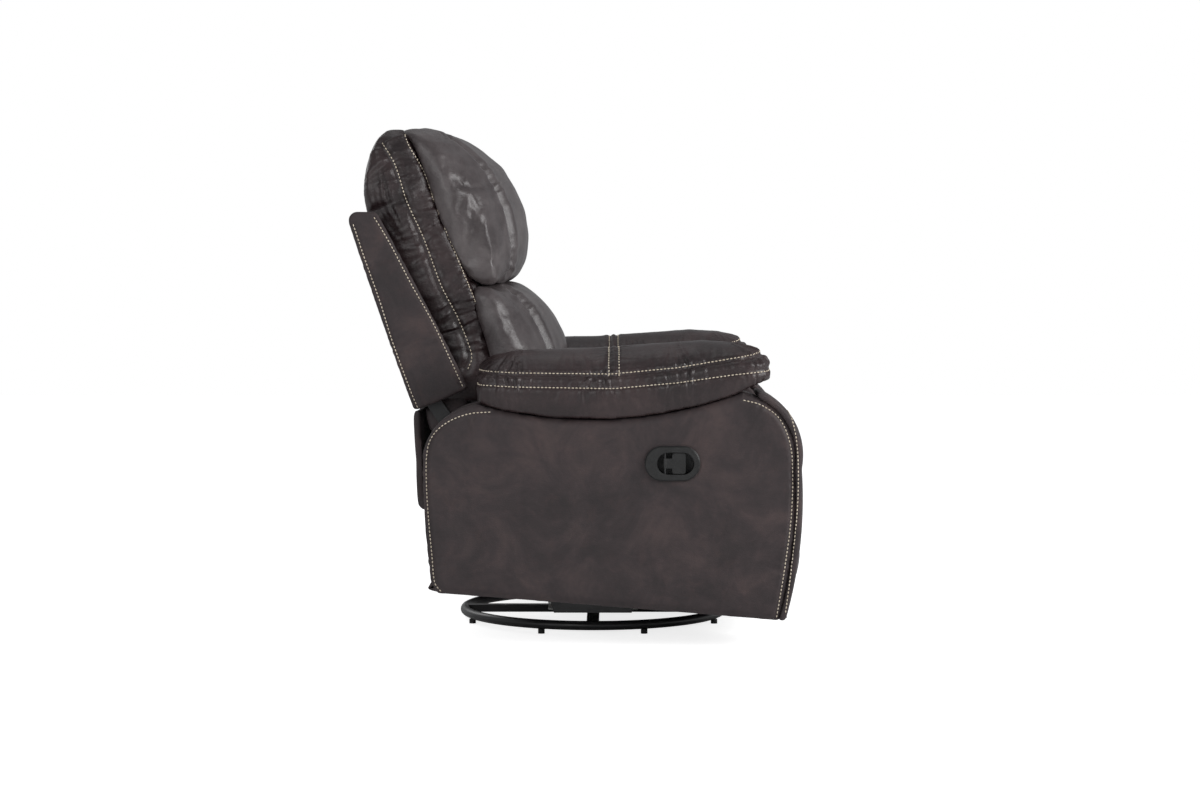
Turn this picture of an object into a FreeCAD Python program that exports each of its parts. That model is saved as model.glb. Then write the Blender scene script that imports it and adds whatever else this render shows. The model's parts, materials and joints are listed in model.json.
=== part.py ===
import FreeCAD, Part
import math
import os

# Swivel glider recliner: padded arms and back on a gliding carriage over a round swivel base.
# Millimetres. +X is the chair's front, +Y its left side, +Z up. The origin is on the floor,
# under the middle of the chair's box. The footrest is closed and the back is upright.

V = FreeCAD.Vector

# Running and seating clearances
SOFT_GAP = 0.3
PIN_FIT = 0.15
LAYER_GAP = 1.8

# Widths across the chair, each from the room between the arms and its own clearance
ARM_IN_Y = 300.0
ARM_WIDE = 180.0
ARM_PAD_PROUD = 12.0
MECH_SET_IN = 38.0
CRADLE_SET_IN = 12.0
RECLINE_SET_IN = 10.0
WING_SET_OUT = 18.0
CORE_SIDE_GAP = 10.0
PILLOW_SIDE_GAP = 8.0
SEAT_SIDE_GAP = 4.0
SEAT_PLATE_GAP = 7.0
FOOTREST_SIDE_GAP = 15.0
SKIRT_SIDE_GAP = 6.0
ARM_OUT_Y = ARM_IN_Y + ARM_WIDE
ARM_PAD_OUT_Y = ARM_OUT_Y + ARM_PAD_PROUD
MECH_Y = ARM_IN_Y - MECH_SET_IN
CRADLE_Y = MECH_Y - CRADLE_SET_IN
RECLINE_BRACKET_Y = ARM_IN_Y - RECLINE_SET_IN
WING_IN_Y = ARM_IN_Y + WING_SET_OUT
CORE_HALF_W = WING_IN_Y - CORE_SIDE_GAP
PILLOW_HALF_W = ARM_IN_Y - PILLOW_SIDE_GAP
SEAT_WIDE = ARM_IN_Y - SEAT_SIDE_GAP
SEAT_HALF_W = MECH_Y - SEAT_PLATE_GAP
PAD_HALF_W = ARM_IN_Y - FOOTREST_SIDE_GAP
SKIRT_HALF_W = ARM_IN_Y - SKIRT_SIDE_GAP

# Base ring, crossed bars and feet
SWIVEL_X = 27.0
RING_OUTER_D = 565.0
RING_TUBE_D = 19.5
RING_SIDES = 8
FOOT_D = 14.0
FOOT_H = 9.0
FOOT_COUNT = 8
BAR_W = 25.0
BAR_H = 15.0
SWIVEL_PLATE = 190.0
PLATE_T = 3.0
BEARING_OD = 150.0
BEARING_ID = 118.0
BEARING_H = 10.0
RACE_SIDES = 36
KING_PIN_D = 12.0

# Glider cradle and its hanging links
CRADLE_T = 4.0
CRADLE_BAR_X = 62.0
CRADLE_BAR_W = 34.0
CRADLE_BAR_H = 18.0
GLIDE_PIVOT_DX = 115.0
GLIDE_PIVOT_Z = 215.0
GLIDE_LINK_L = 100.0
GLIDE_LINK_W = 24.0
GLIDE_PIN_D = 9.0

# Mechanism side plates and the layers of links beside them
MECH_T = 3.0
LINK_T = 3.0
LINK_W = 22.0
LINK_PIN_D = 8.0
PIN_HEAD_D = 14.0
PIN_HEAD_T = 1.4
PIN_END = 1.0
PIN_SIDES = 12
TUBE_S = 25.0
TUBE_WALL = 2.0
FRONT_TUBE_X = 120.0
REAR_TUBE_X = -60.0
TUBE_Z = 262.0

# Footrest linkage: two stacked parallelograms on each side
LIFT_PIVOT = (255.0, 381.0)
LIFT_LINK_L = 253.0
LIFT_CLOSED_DEG = -97.0
FOOTREST_TURN = 83.0
LOWER_LINK_L = 140.0
LOWER_LINK_DEG = 35.4
TAIL = (-40.0, -45.0)
CRANK_L = 64.0
STEER_CRANK_L = 60.0
STEER_PLAY = 0.5
MID_TURN = 77.0
BRACE_UP = 36.0
BRACE_D = 18.0

# Footrest boards and pads
BOARD_T = 14.0
OTTOMAN_SET = (19.6, 55.7)
OTTOMAN_BOARD_L = 205.0
OTTOMAN_PAD_T = 79.0
MID_BOARD_SET = 24.8
MID_BOARD_BOTTOM = 9.0
MID_BOARD_L = 146.0
MID_PAD_T = 70.0
BRACKET_DEPTH = 34.0

# Arms
INNER_PANEL_T = 12.0
OUTER_PANEL_T = 20.0
BAND_T = 10.0
ARM_BOARD_T = 16.0
ARM_PAD_REAR_X = -196.0
ARM_PAD_FRONT_X = 374.0
ARM_REST_REAR_Z = 478.0
ARM_REST_MID_X = 18.0
ARM_REST_MID_Z = 448.0
ARM_REST_FRONT_Z = 517.0
ARM_TOP_FRONT_X = 318.0

# Seat
SEAT_FRONT_X = 364.0
SEAT_REAR_X = -232.0
SEAT_STEP_X = -44.0
SEAT_TOP_Z = 500.0
SEAT_FRAME_Z = 304.0
SEAT_RAIL_H = 42.0
SEAT_RAIL_T = 30.0
SPRING_WIRE_D = 4.0
SPRING_COUNT = 5
SPRING_BENDS = 7
SPRING_SWING = 22.0

# Back
RECLINE_PIVOT = (-144.0, 252.0)
RECLINE_PIN_D = 12.0
TONGUE_R = 198.0
WING_T = 16.0
BACK_PANEL_T = 8.0
BACK_POST_W = 24.0
BACK_POST_D = 34.0
TOP_Z = 1034.0
BACK_FOOT = (-328.0, 459.0)
SKIRT_T = 18.0
SKIRT_L = 180.0

# Release handle on the right arm
HANDLE_X = 183.0
HANDLE_Z = 364.0
ESCUTCHEON_W = 108.0
ESCUTCHEON_H = 68.0
ESCUTCHEON_T = 7.0
CUP_W = 76.0
CUP_H = 47.0
CUP_DEPTH = 34.0
CUP_WALL = 2.0
CUP_SHIFT = 6.0
PADDLE_W = 40.0
PADDLE_T = 6.0
HANDLE_PIN_D = 4.0

PARTS = "parts"


def save(shape, name):
    shape.exportStep(os.path.join(PARTS, name + ".step"))


def group(shapes):
    """Separate solids kept in one node."""
    return Part.makeCompound(shapes)


def mirrored(shape):
    """The same piece on the other side of the chair."""
    return shape.mirror(V(0, 0, 0), V(0, 1, 0))


def both_sides(shape):
    return group([shape, mirrored(shape)])


def box(x0, x1, y0, y1, z0, z1):
    return Part.makeBox(x1 - x0, y1 - y0, z1 - z0, V(x0, y0, z0))


def rod_y(x, z, y0, y1, diameter):
    return Part.makeCylinder(diameter / 2, y1 - y0, V(x, y0, z), V(0, 1, 0))


def many_sided(x, z, y0, y1, diameter, outside=False):
    """A twelve-sided stud across the chair, or the hole for one where outside is true."""
    r = diameter / 2
    if outside:
        r /= math.cos(math.pi / PIN_SIDES)
    turns = [2 * math.pi * (k + 0.5) / PIN_SIDES for k in range(PIN_SIDES)]
    spots = [V(x + r * math.cos(a), y0, z + r * math.sin(a)) for a in turns]
    return Part.Face(Part.makePolygon(spots + spots[:1])).extrude(V(0, y1 - y0, 0))


def upright_stud(x, y, z0, z1, diameter, sides=PIN_SIDES):
    """A many-sided upright stud."""
    turns = [2 * math.pi * (k + 0.5) / sides for k in range(sides)]
    spots = [V(x + diameter / 2 * math.cos(a), y + diameter / 2 * math.sin(a), z0) for a in turns]
    return Part.Face(Part.makePolygon(spots + spots[:1])).extrude(V(0, 0, z1 - z0))


def rod_z(x, y, z0, z1, diameter):
    return Part.makeCylinder(diameter / 2, z1 - z0, V(x, y, z0), V(0, 0, 1))


def path_edges(start, steps, place):
    """Edges of an outline. A step is a point, or a (middle, end) pair for an arc."""
    edges = []
    here = start
    for step in steps:
        if isinstance(step[0], tuple):
            middle, end = step
            edges.append(Part.Arc(place(*here), place(*middle), place(*end)).toShape())
        else:
            end = step
            edges.append(Part.LineSegment(place(*here), place(*end)).toShape())
        here = end
    return edges


def closed_plate(start, steps, y0, y1):
    """A closed outline in the side view, given a width across the chair."""
    edges = path_edges(start, steps, lambda x, z: V(x, y0, z))
    return Part.Face(Part.Wire(edges)).extrude(V(0, y1 - y0, 0))


def link(a, b, y0, y1, width, hole):
    """A flat bar with round ends and a hole at each."""
    dx, dz = b[0] - a[0], b[1] - a[1]
    length = math.hypot(dx, dz)
    ux, uz = dx / length, dz / length
    r = width / 2
    nx, nz = -uz * r, ux * r
    start = (a[0] + nx, a[1] + nz)
    steps = [
        ((a[0] - ux * r, a[1] - uz * r), (a[0] - nx, a[1] - nz)),
        (b[0] - nx, b[1] - nz),
        ((b[0] + ux * r, b[1] + uz * r), (b[0] + nx, b[1] + nz)),
        start,
    ]
    bar = closed_plate(start, steps, y0, y1)
    for x, z in (a, b):
        bar = bar.cut(many_sided(x, z, y0 - 1, y1 + 1, hole, True))
    return bar


def drilled(shape, places, y0, y1, hole):
    for x, z in places:
        shape = shape.cut(many_sided(x, z, y0 - 1, y1 + 1, hole, True))
    return shape


def pin(x, z, y0, y1, diameter, head=PIN_HEAD_D):
    """A pin from y0 to y1 with a flat head beyond y1 and a plain end before y0."""
    shank = many_sided(x, z, y0 - PIN_END, y1, diameter)
    return shank.fuse(many_sided(x, z, y1, y1 + PIN_HEAD_T, head)).removeSplitter()


def polar(centre, radius, degrees):
    a = math.radians(degrees)
    return (centre[0] + radius * math.cos(a), centre[1] + radius * math.sin(a))


def toward(a, b, distance):
    length = math.hypot(b[0] - a[0], b[1] - a[1])
    return (a[0] + (b[0] - a[0]) * distance / length, a[1] + (b[1] - a[1]) * distance / length)


# Heights of the base, from the floor up
RING_Z = FOOT_H + RING_TUBE_D / 2
BAR_TOP = RING_Z + BAR_H / 2
LOWER_PLATE_TOP = BAR_TOP + PLATE_T
BEARING_TOP = LOWER_PLATE_TOP + BEARING_H
UPPER_PLATE_TOP = BEARING_TOP + PLATE_T

# Layers across the mechanism, from the side plate outwards
LAYER_1 = MECH_Y + MECH_T + LAYER_GAP
LAYER_2 = LAYER_1 + LINK_T + LAYER_GAP
LAYER_3 = LAYER_2 + LINK_T + LAYER_GAP
GLIDE_LINK_Y = CRADLE_Y + CRADLE_T + LAYER_GAP
GLIDE_LINK_T = MECH_Y - LAYER_GAP - GLIDE_LINK_Y

# Footrest pivots, footrest closed
REAR_LIFT_PIVOT = (LIFT_PIVOT[0] + TAIL[0], LIFT_PIVOT[1] + TAIL[1])
KNEE = polar(LIFT_PIVOT, LIFT_LINK_L, LIFT_CLOSED_DEG)
HEEL = (KNEE[0] + TAIL[0], KNEE[1] + TAIL[1])
OTTOMAN_PIN = polar(KNEE, LOWER_LINK_L, LOWER_LINK_DEG)
CROSS_PIN = toward(KNEE, LIFT_PIVOT, CRANK_L)
OTTOMAN_TOP_PIN = (OTTOMAN_PIN[0] + CROSS_PIN[0] - KNEE[0], OTTOMAN_PIN[1] + CROSS_PIN[1] - KNEE[1])
STEER_PIN = toward(KNEE, LIFT_PIVOT, CRANK_L + STEER_CRANK_L)
MID_CRANK_L = STEER_CRANK_L * math.sin(math.radians(FOOTREST_TURN / 2)) / math.sin(math.radians(MID_TURN / 2))
MID_PIN = polar(OTTOMAN_TOP_PIN, MID_CRANK_L, LIFT_CLOSED_DEG + 180 + (FOOTREST_TURN - MID_TURN) / 2)
BRACE_PLACE = toward(KNEE, LIFT_PIVOT, BRACE_UP)

# The mid pin drifts a little across the steering link between the ends of its travel
STEER_DRIFT = (STEER_CRANK_L * (1 - math.cos(math.radians(FOOTREST_TURN / 2)))
               - MID_CRANK_L * (1 - math.cos(math.radians(MID_TURN / 2))))
STEER_HOLE = polar(MID_PIN, STEER_DRIFT / 2, LOWER_LINK_DEG - 90)

# Footrest boards, footrest closed
OTTOMAN_BACK_X = OTTOMAN_PIN[0] + OTTOMAN_SET[0]
OTTOMAN_TOP_Z = OTTOMAN_PIN[1] + OTTOMAN_SET[1]
OTTOMAN_FRONT_X = OTTOMAN_BACK_X + BOARD_T
MID_BACK_X = OTTOMAN_TOP_PIN[0] + MID_BOARD_SET
MID_BOTTOM_Z = OTTOMAN_TOP_PIN[1] + MID_BOARD_BOTTOM
MID_FRONT_X = MID_BACK_X + BOARD_T

# The skirt's rolled top hangs just under the back's outer panel
SKIRT_HINGE = (BACK_FOOT[0] + 4.0, BACK_FOOT[1] + 0.7 - SKIRT_T / 2 - SOFT_GAP)

# Glide pivots
GLIDE_PIVOTS = (SWIVEL_X + GLIDE_PIVOT_DX, SWIVEL_X - GLIDE_PIVOT_DX)
GLIDE_LOW_Z = GLIDE_PIVOT_Z - GLIDE_LINK_L


def build_base():
    reach = RING_OUTER_D / 2 - RING_TUBE_D / 2
    corner = RING_TUBE_D / 2 / math.cos(math.pi / RING_SIDES)
    turns = [2 * math.pi * (k + 0.5) / RING_SIDES for k in range(RING_SIDES)]
    spots = [V(SWIVEL_X + reach + corner * math.cos(a), 0, RING_Z + corner * math.sin(a)) for a in turns]
    section = Part.Face(Part.makePolygon(spots + spots[:1]))
    tube = section.revolve(V(SWIVEL_X, 0, 0), V(0, 0, 1), 360)
    save(tube, "base_ring")
    z0, z1 = RING_Z - BAR_H / 2, BAR_TOP
    along = box(SWIVEL_X - reach, SWIVEL_X + reach, -BAR_W / 2, BAR_W / 2, z0, z1)
    across = box(SWIVEL_X - BAR_W / 2, SWIVEL_X + BAR_W / 2, -reach, reach, z0, z1)
    bars = along.fuse(across).removeSplitter().cut(tube)
    bars = max(bars.Solids, key=lambda s: s.Volume)
    pin_hole = rod_z(SWIVEL_X, 0, z0 - 1, z1 + 1, KING_PIN_D + 2 * PIN_FIT)
    save(bars.cut(pin_hole), "base_cross_bars")
    feet = []
    for i in range(FOOT_COUNT):
        a = math.radians(360 / FOOT_COUNT * (i + 0.5))
        x = SWIVEL_X + reach * math.cos(a)
        y = reach * math.sin(a)
        feet.append(upright_stud(x, y, 0, FOOT_H, FOOT_D))
    save(group(feet), "base_feet")
    half = SWIVEL_PLATE / 2
    hole = rod_z(SWIVEL_X, 0, 0, UPPER_PLATE_TOP + 1, KING_PIN_D + 2 * PIN_FIT)
    lower = box(SWIVEL_X - half, SWIVEL_X + half, -half, half, BAR_TOP, LOWER_PLATE_TOP)
    save(rounded_z(lower, 18.0).cut(hole), "swivel_lower_plate")
    race = upright_stud(SWIVEL_X, 0, LOWER_PLATE_TOP, BEARING_TOP, BEARING_OD, RACE_SIDES)
    race = race.cut(upright_stud(SWIVEL_X, 0, LOWER_PLATE_TOP - 1, BEARING_TOP + 1, BEARING_ID, RACE_SIDES))
    save(race, "swivel_bearing_ring")
    upper = box(SWIVEL_X - half, SWIVEL_X + half, -half, half, BEARING_TOP, UPPER_PLATE_TOP)
    save(rounded_z(upper, 18.0).cut(hole), "swivel_upper_plate")
    nut_z = z0 - 8.0
    shank = upright_stud(SWIVEL_X, 0, nut_z, UPPER_PLATE_TOP, KING_PIN_D)
    head = upright_stud(SWIVEL_X, 0, UPPER_PLATE_TOP, UPPER_PLATE_TOP + 6.0, KING_PIN_D * 2, 6)
    nut = upright_stud(SWIVEL_X, 0, nut_z, z0, KING_PIN_D * 1.8, 6)
    save(shank.fuse([head, nut]).removeSplitter(), "swivel_king_pin")


def rounded_z(shape, radius):
    """Rounds the upright edges of a block."""
    upright = [e for e in shape.Edges
               if abs(e.Vertexes[0].X - e.Vertexes[1].X) < 1e-6 and abs(e.Vertexes[0].Y - e.Vertexes[1].Y) < 1e-6]
    return shape.makeFillet(radius, upright)


def build_glider():
    y0, y1 = CRADLE_Y, CRADLE_Y + CRADLE_T
    front, rear = GLIDE_PIVOTS
    ear = GLIDE_LINK_W / 2 + 2
    foot = CRADLE_BAR_X + CRADLE_BAR_W / 2
    top = GLIDE_PIVOT_Z
    start = (SWIVEL_X - foot, UPPER_PLATE_TOP)
    steps = [
        (SWIVEL_X + foot, UPPER_PLATE_TOP),
        (front + ear, top),
        ((front, top + ear), (front - ear, top)),
        ((SWIVEL_X, top - 60.0), (rear + ear, top)),
        ((rear, top + ear), (rear - ear, top)),
        start,
    ]
    side = closed_plate(start, steps, y0, y1)
    side = drilled(side, [(x, top) for x in GLIDE_PIVOTS], y0, y1, GLIDE_PIN_D + 2 * PIN_FIT)
    bars = []
    for sign in (1, -1):
        x = SWIVEL_X + sign * CRADLE_BAR_X
        bars.append(box(x - CRADLE_BAR_W / 2, x + CRADLE_BAR_W / 2, -y0, y0,
                        UPPER_PLATE_TOP, UPPER_PLATE_TOP + CRADLE_BAR_H))
    cradle = side.fuse([mirrored(side)] + bars).removeSplitter()
    save(cradle, "glider_cradle")
    ly0 = GLIDE_LINK_Y
    ly1 = ly0 + GLIDE_LINK_T
    for name, x in (("front", front), ("rear", rear)):
        bar = link((x, top), (x, GLIDE_LOW_Z), ly0, ly1, GLIDE_LINK_W, GLIDE_PIN_D + 2 * PIN_FIT)
        save(both_sides(bar), "glide_links_" + name)
    uppers = []
    lowers = []
    for x in GLIDE_PIVOTS:
        uppers.append(pin(x, top, y0, ly1, GLIDE_PIN_D))
        lowers.append(pin(x, GLIDE_LOW_Z, ly0, MECH_Y + MECH_T, GLIDE_PIN_D))
    save(group(uppers + [mirrored(p) for p in uppers]), "glide_upper_pins")
    save(group(lowers + [mirrored(p) for p in lowers]), "glide_lower_pins")


def square_tube(x, z, half_length):
    s = TUBE_S / 2
    outer = box(x - s, x + s, -half_length, half_length, z - s, z + s)
    s -= TUBE_WALL
    return outer.cut(box(x - s, x + s, -half_length - 1, half_length + 1, z - s, z + s))


def build_carriage():
    y0, y1 = MECH_Y, MECH_Y + MECH_T
    px, pz = LIFT_PIVOT
    qx, qz = REAR_LIFT_PIVOT
    rx, rz = RECLINE_PIVOT
    ear = LINK_W / 2 + 3
    low = GLIDE_LOW_Z - GLIDE_LINK_W / 2 - 3
    seat_top = SEAT_FRAME_Z + SEAT_RAIL_H
    start = (GLIDE_PIVOTS[1] - ear, low)
    steps = [
        (GLIDE_PIVOTS[0] + ear, low),
        (GLIDE_PIVOTS[0] + ear + 8, GLIDE_LOW_Z + 40),
        (qx - 10, qz - 60),
        (px + ear - 4, pz - 8),
        ((px + 4, pz + ear), (px - ear, pz + 4)),
        (qx - 18, seat_top),
        (REAR_TUBE_X - 20, seat_top),
        (rx + 12, rz + 22),
        ((rx - 22, rz), (rx + 12, rz - 22)),
        (GLIDE_PIVOTS[1] - ear, GLIDE_LOW_Z + 50),
        start,
    ]
    side = closed_plate(start, steps, y0, y1)
    side = drilled(side, [LIFT_PIVOT, REAR_LIFT_PIVOT], y0, y1, LINK_PIN_D + 2 * PIN_FIT)
    side = drilled(side, [(x, GLIDE_LOW_Z) for x in GLIDE_PIVOTS], y0, y1, GLIDE_PIN_D + 2 * PIN_FIT)
    side = drilled(side, [RECLINE_PIVOT], y0, y1, RECLINE_PIN_D + 2 * PIN_FIT)
    tubes = {}
    for name, x in (("front", FRONT_TUBE_X), ("rear", REAR_TUBE_X)):
        tubes[name] = square_tube(x, TUBE_Z, ARM_IN_Y)
        s = TUBE_S / 2
        side = side.cut(box(x - s, x + s, y0 - 1, y1 + 1, TUBE_Z - s, TUBE_Z + s))
        save(tubes[name], "cross_tube_" + name)
    save(mirrored(side), "mechanism_plate_right")
    save(side, "mechanism_plate_left")
    pins = [pin(px, pz, y0, LAYER_1 + LINK_T, LINK_PIN_D), pin(qx, qz, y0, LAYER_1 + LINK_T, LINK_PIN_D)]
    save(group(pins + [mirrored(p) for p in pins]), "lift_pivot_pins")
    recline = pin(rx, rz, y0, RECLINE_BRACKET_Y + CRADLE_T, RECLINE_PIN_D, RECLINE_PIN_D + 8)
    save(both_sides(recline), "recline_pins")


def build_footrest_links():
    hole = LINK_PIN_D + 2 * PIN_FIT
    y1, y2, y3 = LAYER_1, LAYER_2, LAYER_3
    front = link(LIFT_PIVOT, KNEE, y1, y1 + LINK_T, LINK_W, hole)
    front = drilled(front, [CROSS_PIN, STEER_PIN], y1, y1 + LINK_T, hole)
    save(both_sides(front), "front_lift_links")
    rear = link(REAR_LIFT_PIVOT, HEEL, y1, y1 + LINK_T, LINK_W, hole)
    save(both_sides(rear), "rear_lift_links")
    arm = link(KNEE, OTTOMAN_PIN, y2, y2 + LINK_T, LINK_W, hole)
    tail = link(KNEE, HEEL, y2, y2 + LINK_T, LINK_W, hole)
    lower = arm.fuse(tail).removeSplitter()
    save(both_sides(drilled(lower, [KNEE], y2, y2 + LINK_T, hole)), "lower_ottoman_links")
    upper = link(CROSS_PIN, OTTOMAN_TOP_PIN, y2, y2 + LINK_T, LINK_W, hole)
    save(both_sides(upper), "upper_ottoman_links")
    steer = link(STEER_PIN, STEER_HOLE, y2, y2 + LINK_T, LINK_W - 4, hole)
    steer = drilled(steer, [STEER_HOLE], y2, y2 + LINK_T, hole + STEER_DRIFT + STEER_PLAY)
    save(both_sides(steer), "mid_pad_steering_links")
    brace = rod_y(BRACE_PLACE[0], BRACE_PLACE[1], -y1, y1, BRACE_D)
    save(brace.cut(rod_y(BRACE_PLACE[0], BRACE_PLACE[1], -y1 - 1, y1 + 1, BRACE_D - 2 * TUBE_WALL)),
         "footrest_brace_tube")
    knees = [pin(x, z, y1, y2 + LINK_T, LINK_PIN_D) for x, z in (KNEE, CROSS_PIN, STEER_PIN)]
    save(group(knees + [mirrored(p) for p in knees]), "lift_link_rivets")
    heels = [pin(HEEL[0], HEEL[1], y1, y2 + LINK_T, LINK_PIN_D),
             pin(OTTOMAN_PIN[0], OTTOMAN_PIN[1], y2, y3 + LINK_T, LINK_PIN_D)]
    save(group(heels + [mirrored(p) for p in heels]), "lower_link_rivets")
    tops = [pin(OTTOMAN_TOP_PIN[0], OTTOMAN_TOP_PIN[1], y1, y3 + LINK_T, LINK_PIN_D),
            pin(MID_PIN[0], MID_PIN[1], y1, y2 + LINK_T, LINK_PIN_D)]
    save(group([tops[0], mirrored(tops[0])]), "upper_link_rivets")
    save(group([tops[1], mirrored(tops[1])]), "mid_pad_rivets")


def build_footrest_pads():
    hole = LINK_PIN_D + 2 * PIN_FIT
    # Ottoman angle: its web is outside the links, its flange turns inwards behind the board
    top = OTTOMAN_TOP_Z + 6.0
    bottom = OTTOMAN_TOP_Z - 130.0
    back = OTTOMAN_BACK_X
    y3 = LAYER_3
    web = closed_plate((back, bottom), [
        (back, top),
        (OTTOMAN_TOP_PIN[0] + 2, OTTOMAN_TOP_PIN[1] + 11),
        ((OTTOMAN_TOP_PIN[0] - 11, OTTOMAN_TOP_PIN[1]), (OTTOMAN_TOP_PIN[0] - 4, OTTOMAN_TOP_PIN[1] - 11)),
        (OTTOMAN_PIN[0] - 10, OTTOMAN_PIN[1] + 6),
        ((OTTOMAN_PIN[0] - 11, OTTOMAN_PIN[1] - 5), (OTTOMAN_PIN[0] - 2, OTTOMAN_PIN[1] - 12)),
        (back, bottom)], y3, y3 + LINK_T)
    web = drilled(web, [OTTOMAN_PIN, OTTOMAN_TOP_PIN], y3, y3 + LINK_T, hole)
    flange = box(back - LINK_T, back, y3 - 4.5, y3 + LINK_T, bottom, OTTOMAN_PIN[1] - 24.0)
    bracket = web.fuse(flange).removeSplitter()
    save(bracket, "ottoman_bracket_left")
    save(mirrored(bracket), "ottoman_bracket_right")
    board = box(back, OTTOMAN_FRONT_X, -PAD_HALF_W, PAD_HALF_W, OTTOMAN_TOP_Z - OTTOMAN_BOARD_L, OTTOMAN_TOP_Z)
    save(board, "ottoman_board")
    # Mid pad angle: its web is inside the links
    mx = MID_BACK_X
    y1 = LAYER_1
    z0 = MID_BOTTOM_Z + 4.0
    z1 = MID_BOTTOM_Z + 105.0
    web = closed_plate((mx, z0), [
        (mx, z1),
        (MID_PIN[0] - 6, MID_PIN[1] + 11),
        ((MID_PIN[0] - 11, MID_PIN[1]), (MID_PIN[0] - 9, MID_PIN[1] - 8)),
        (OTTOMAN_TOP_PIN[0] - 10, OTTOMAN_TOP_PIN[1] + 5),
        ((OTTOMAN_TOP_PIN[0] - 4, OTTOMAN_TOP_PIN[1] - 11), (OTTOMAN_TOP_PIN[0] + 9, OTTOMAN_TOP_PIN[1] - 6)),
        (mx, z0)], y1, y1 + LINK_T)
    web = drilled(web, [MID_PIN, OTTOMAN_TOP_PIN], y1, y1 + LINK_T, hole)
    flange = box(mx - LINK_T, mx, y1 - BRACKET_DEPTH, y1 + LINK_T, z0, z1)
    save(both_sides(web.fuse(flange).removeSplitter()), "mid_pad_brackets")
    board = box(mx, MID_FRONT_X, -PAD_HALF_W, PAD_HALF_W, MID_BOTTOM_Z, MID_BOTTOM_Z + MID_BOARD_L)
    save(board, "mid_pad_board")
    save(upright_pad(OTTOMAN_FRONT_X + SOFT_GAP, OTTOMAN_TOP_Z - OTTOMAN_BOARD_L - 6.0,
                     OTTOMAN_BOARD_L - 6.0, OTTOMAN_PAD_T, PAD_HALF_W + 3.0, 0.50), "ottoman_cushion")
    save(upright_pad(MID_FRONT_X + SOFT_GAP, MID_BOTTOM_Z - 1.0,
                     MID_BOARD_L + 10.0, MID_PAD_T, PAD_HALF_W + 3.0, 0.42), "mid_pad_cushion")


def upright_pad(x0, z0, height, thick, half_w, crest):
    """A crowned pad on an upright board: full in the middle, drawn in at its ends."""
    wires = []
    half = [(0.0, 1.0, 0.0), (0.5, 0.98, 0.0), (0.82, 0.93, 0.01), (0.95, 0.74, 0.035), (1.0, 0.34, 0.10)]
    both = [(-a, b, c) for a, b, c in reversed(half[1:])] + half
    for share, fill, trim in both:
        y = share * half_w
        low = z0 + height * trim
        high = z0 + height * (1 - trim)
        mid = z0 + height * crest
        deep = x0 + thick * fill
        knee = x0 + thick * fill * 0.62
        start = (x0, low)
        steps = [
            ((x0 + thick * fill * 0.40, low + height * 0.01), (knee, low + height * 0.09)),
            ((deep, mid), (knee, high - height * 0.10)),
            ((x0 + thick * fill * 0.40, high - height * 0.01), (x0, high)),
            start,
        ]
        wires.append(Part.Wire(path_edges(start, steps, lambda a, b, y=y: V(a, y, b))))
    return Part.makeLoft(wires, True, True)


# Side outline of an arm, shared by its panels, band and rails
def rest_z(x):
    """Height of the arm's top under the pad: an arc through three heights."""
    ends = (V(ARM_PAD_REAR_X, ARM_REST_REAR_Z, 0), V(ARM_REST_MID_X, ARM_REST_MID_Z, 0),
            V(ARM_PAD_FRONT_X - 15.0, ARM_REST_FRONT_Z, 0))
    circle = Part.Arc(*ends).toShape().Curve
    return circle.Center.y - math.sqrt(circle.Radius ** 2 - (x - circle.Center.x) ** 2)


def arm_outline(inset, front_extra=0.0):
    """Start and steps of the arm's side outline, drawn in by inset."""
    i = inset
    f = front_extra
    xr, xf = ARM_PAD_REAR_X, ARM_TOP_FRONT_X
    start = (-274.0 + i, 110.0 + i)
    steps = [
        ((59.0, 84.0 + i), (391.0 + f - i, 57.0 + i)),
        ((421.0 + f - i, 227.0), (421.0 + f - i, 351.0)),
        ((401.0 + f - i, 448.0 - i * 0.3 + f * 0.4), (xf + f * 0.4, rest_z(xf) - i + f)),
        ((ARM_REST_MID_X, ARM_REST_MID_Z - i), (xr, rest_z(xr) - i)),
        ((-268.0 + i * 0.7, 443.0 - i * 0.7), (-300.0 + i, 385.0)),
        ((-298.0 + i, 256.0), (-286.0 + i, 134.0)),
        start,
    ]
    return start, steps


def arm_block(y0, y1, inset, front_extra=0.0):
    start, steps = arm_outline(inset, front_extra)
    return closed_plate(start, steps, y0, y1)


def build_arm():
    """The left arm. The right one is its mirror image, with the handle's hole."""
    y_in = ARM_IN_Y + INNER_PANEL_T
    y_out = ARM_OUT_Y - OUTER_PANEL_T
    inner = arm_block(ARM_IN_Y, y_in, 0.0)
    outer = arm_block(y_out, ARM_OUT_Y, 0.0)
    shell = arm_block(y_in, y_out, 2.0).cut(arm_block(y_in - 1, y_out + 1, 2.0 + ARM_BOARD_T))
    gaps = [(-292.0, -262.0, 92.0, 130.0), (372.0, 430.0, 50.0, 92.0),
            (352.0, 430.0, 440.0, 500.0), (-310.0, -256.0, 400.0, 452.0)]
    for x0, x1, z0, z1 in gaps:
        shell = shell.cut(box(x0, x1, y_in - 2, y_out + 2, z0, z1))
    band = arm_block(ARM_IN_Y, ARM_OUT_Y, 0.0, BAND_T).cut(arm_block(ARM_IN_Y - 1, ARM_OUT_Y + 1, 0.0))
    band = band.common(box(ARM_TOP_FRONT_X + 32, ARM_PAD_FRONT_X + 100, ARM_IN_Y, ARM_OUT_Y, 50, 600))
    band = max(band.Solids, key=lambda s: s.Volume)
    return {"panel_inner": inner, "panel_outer": outer, "boards": group(shell.Solids), "front_band": band,
            "pad": arm_pad()}


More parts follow.
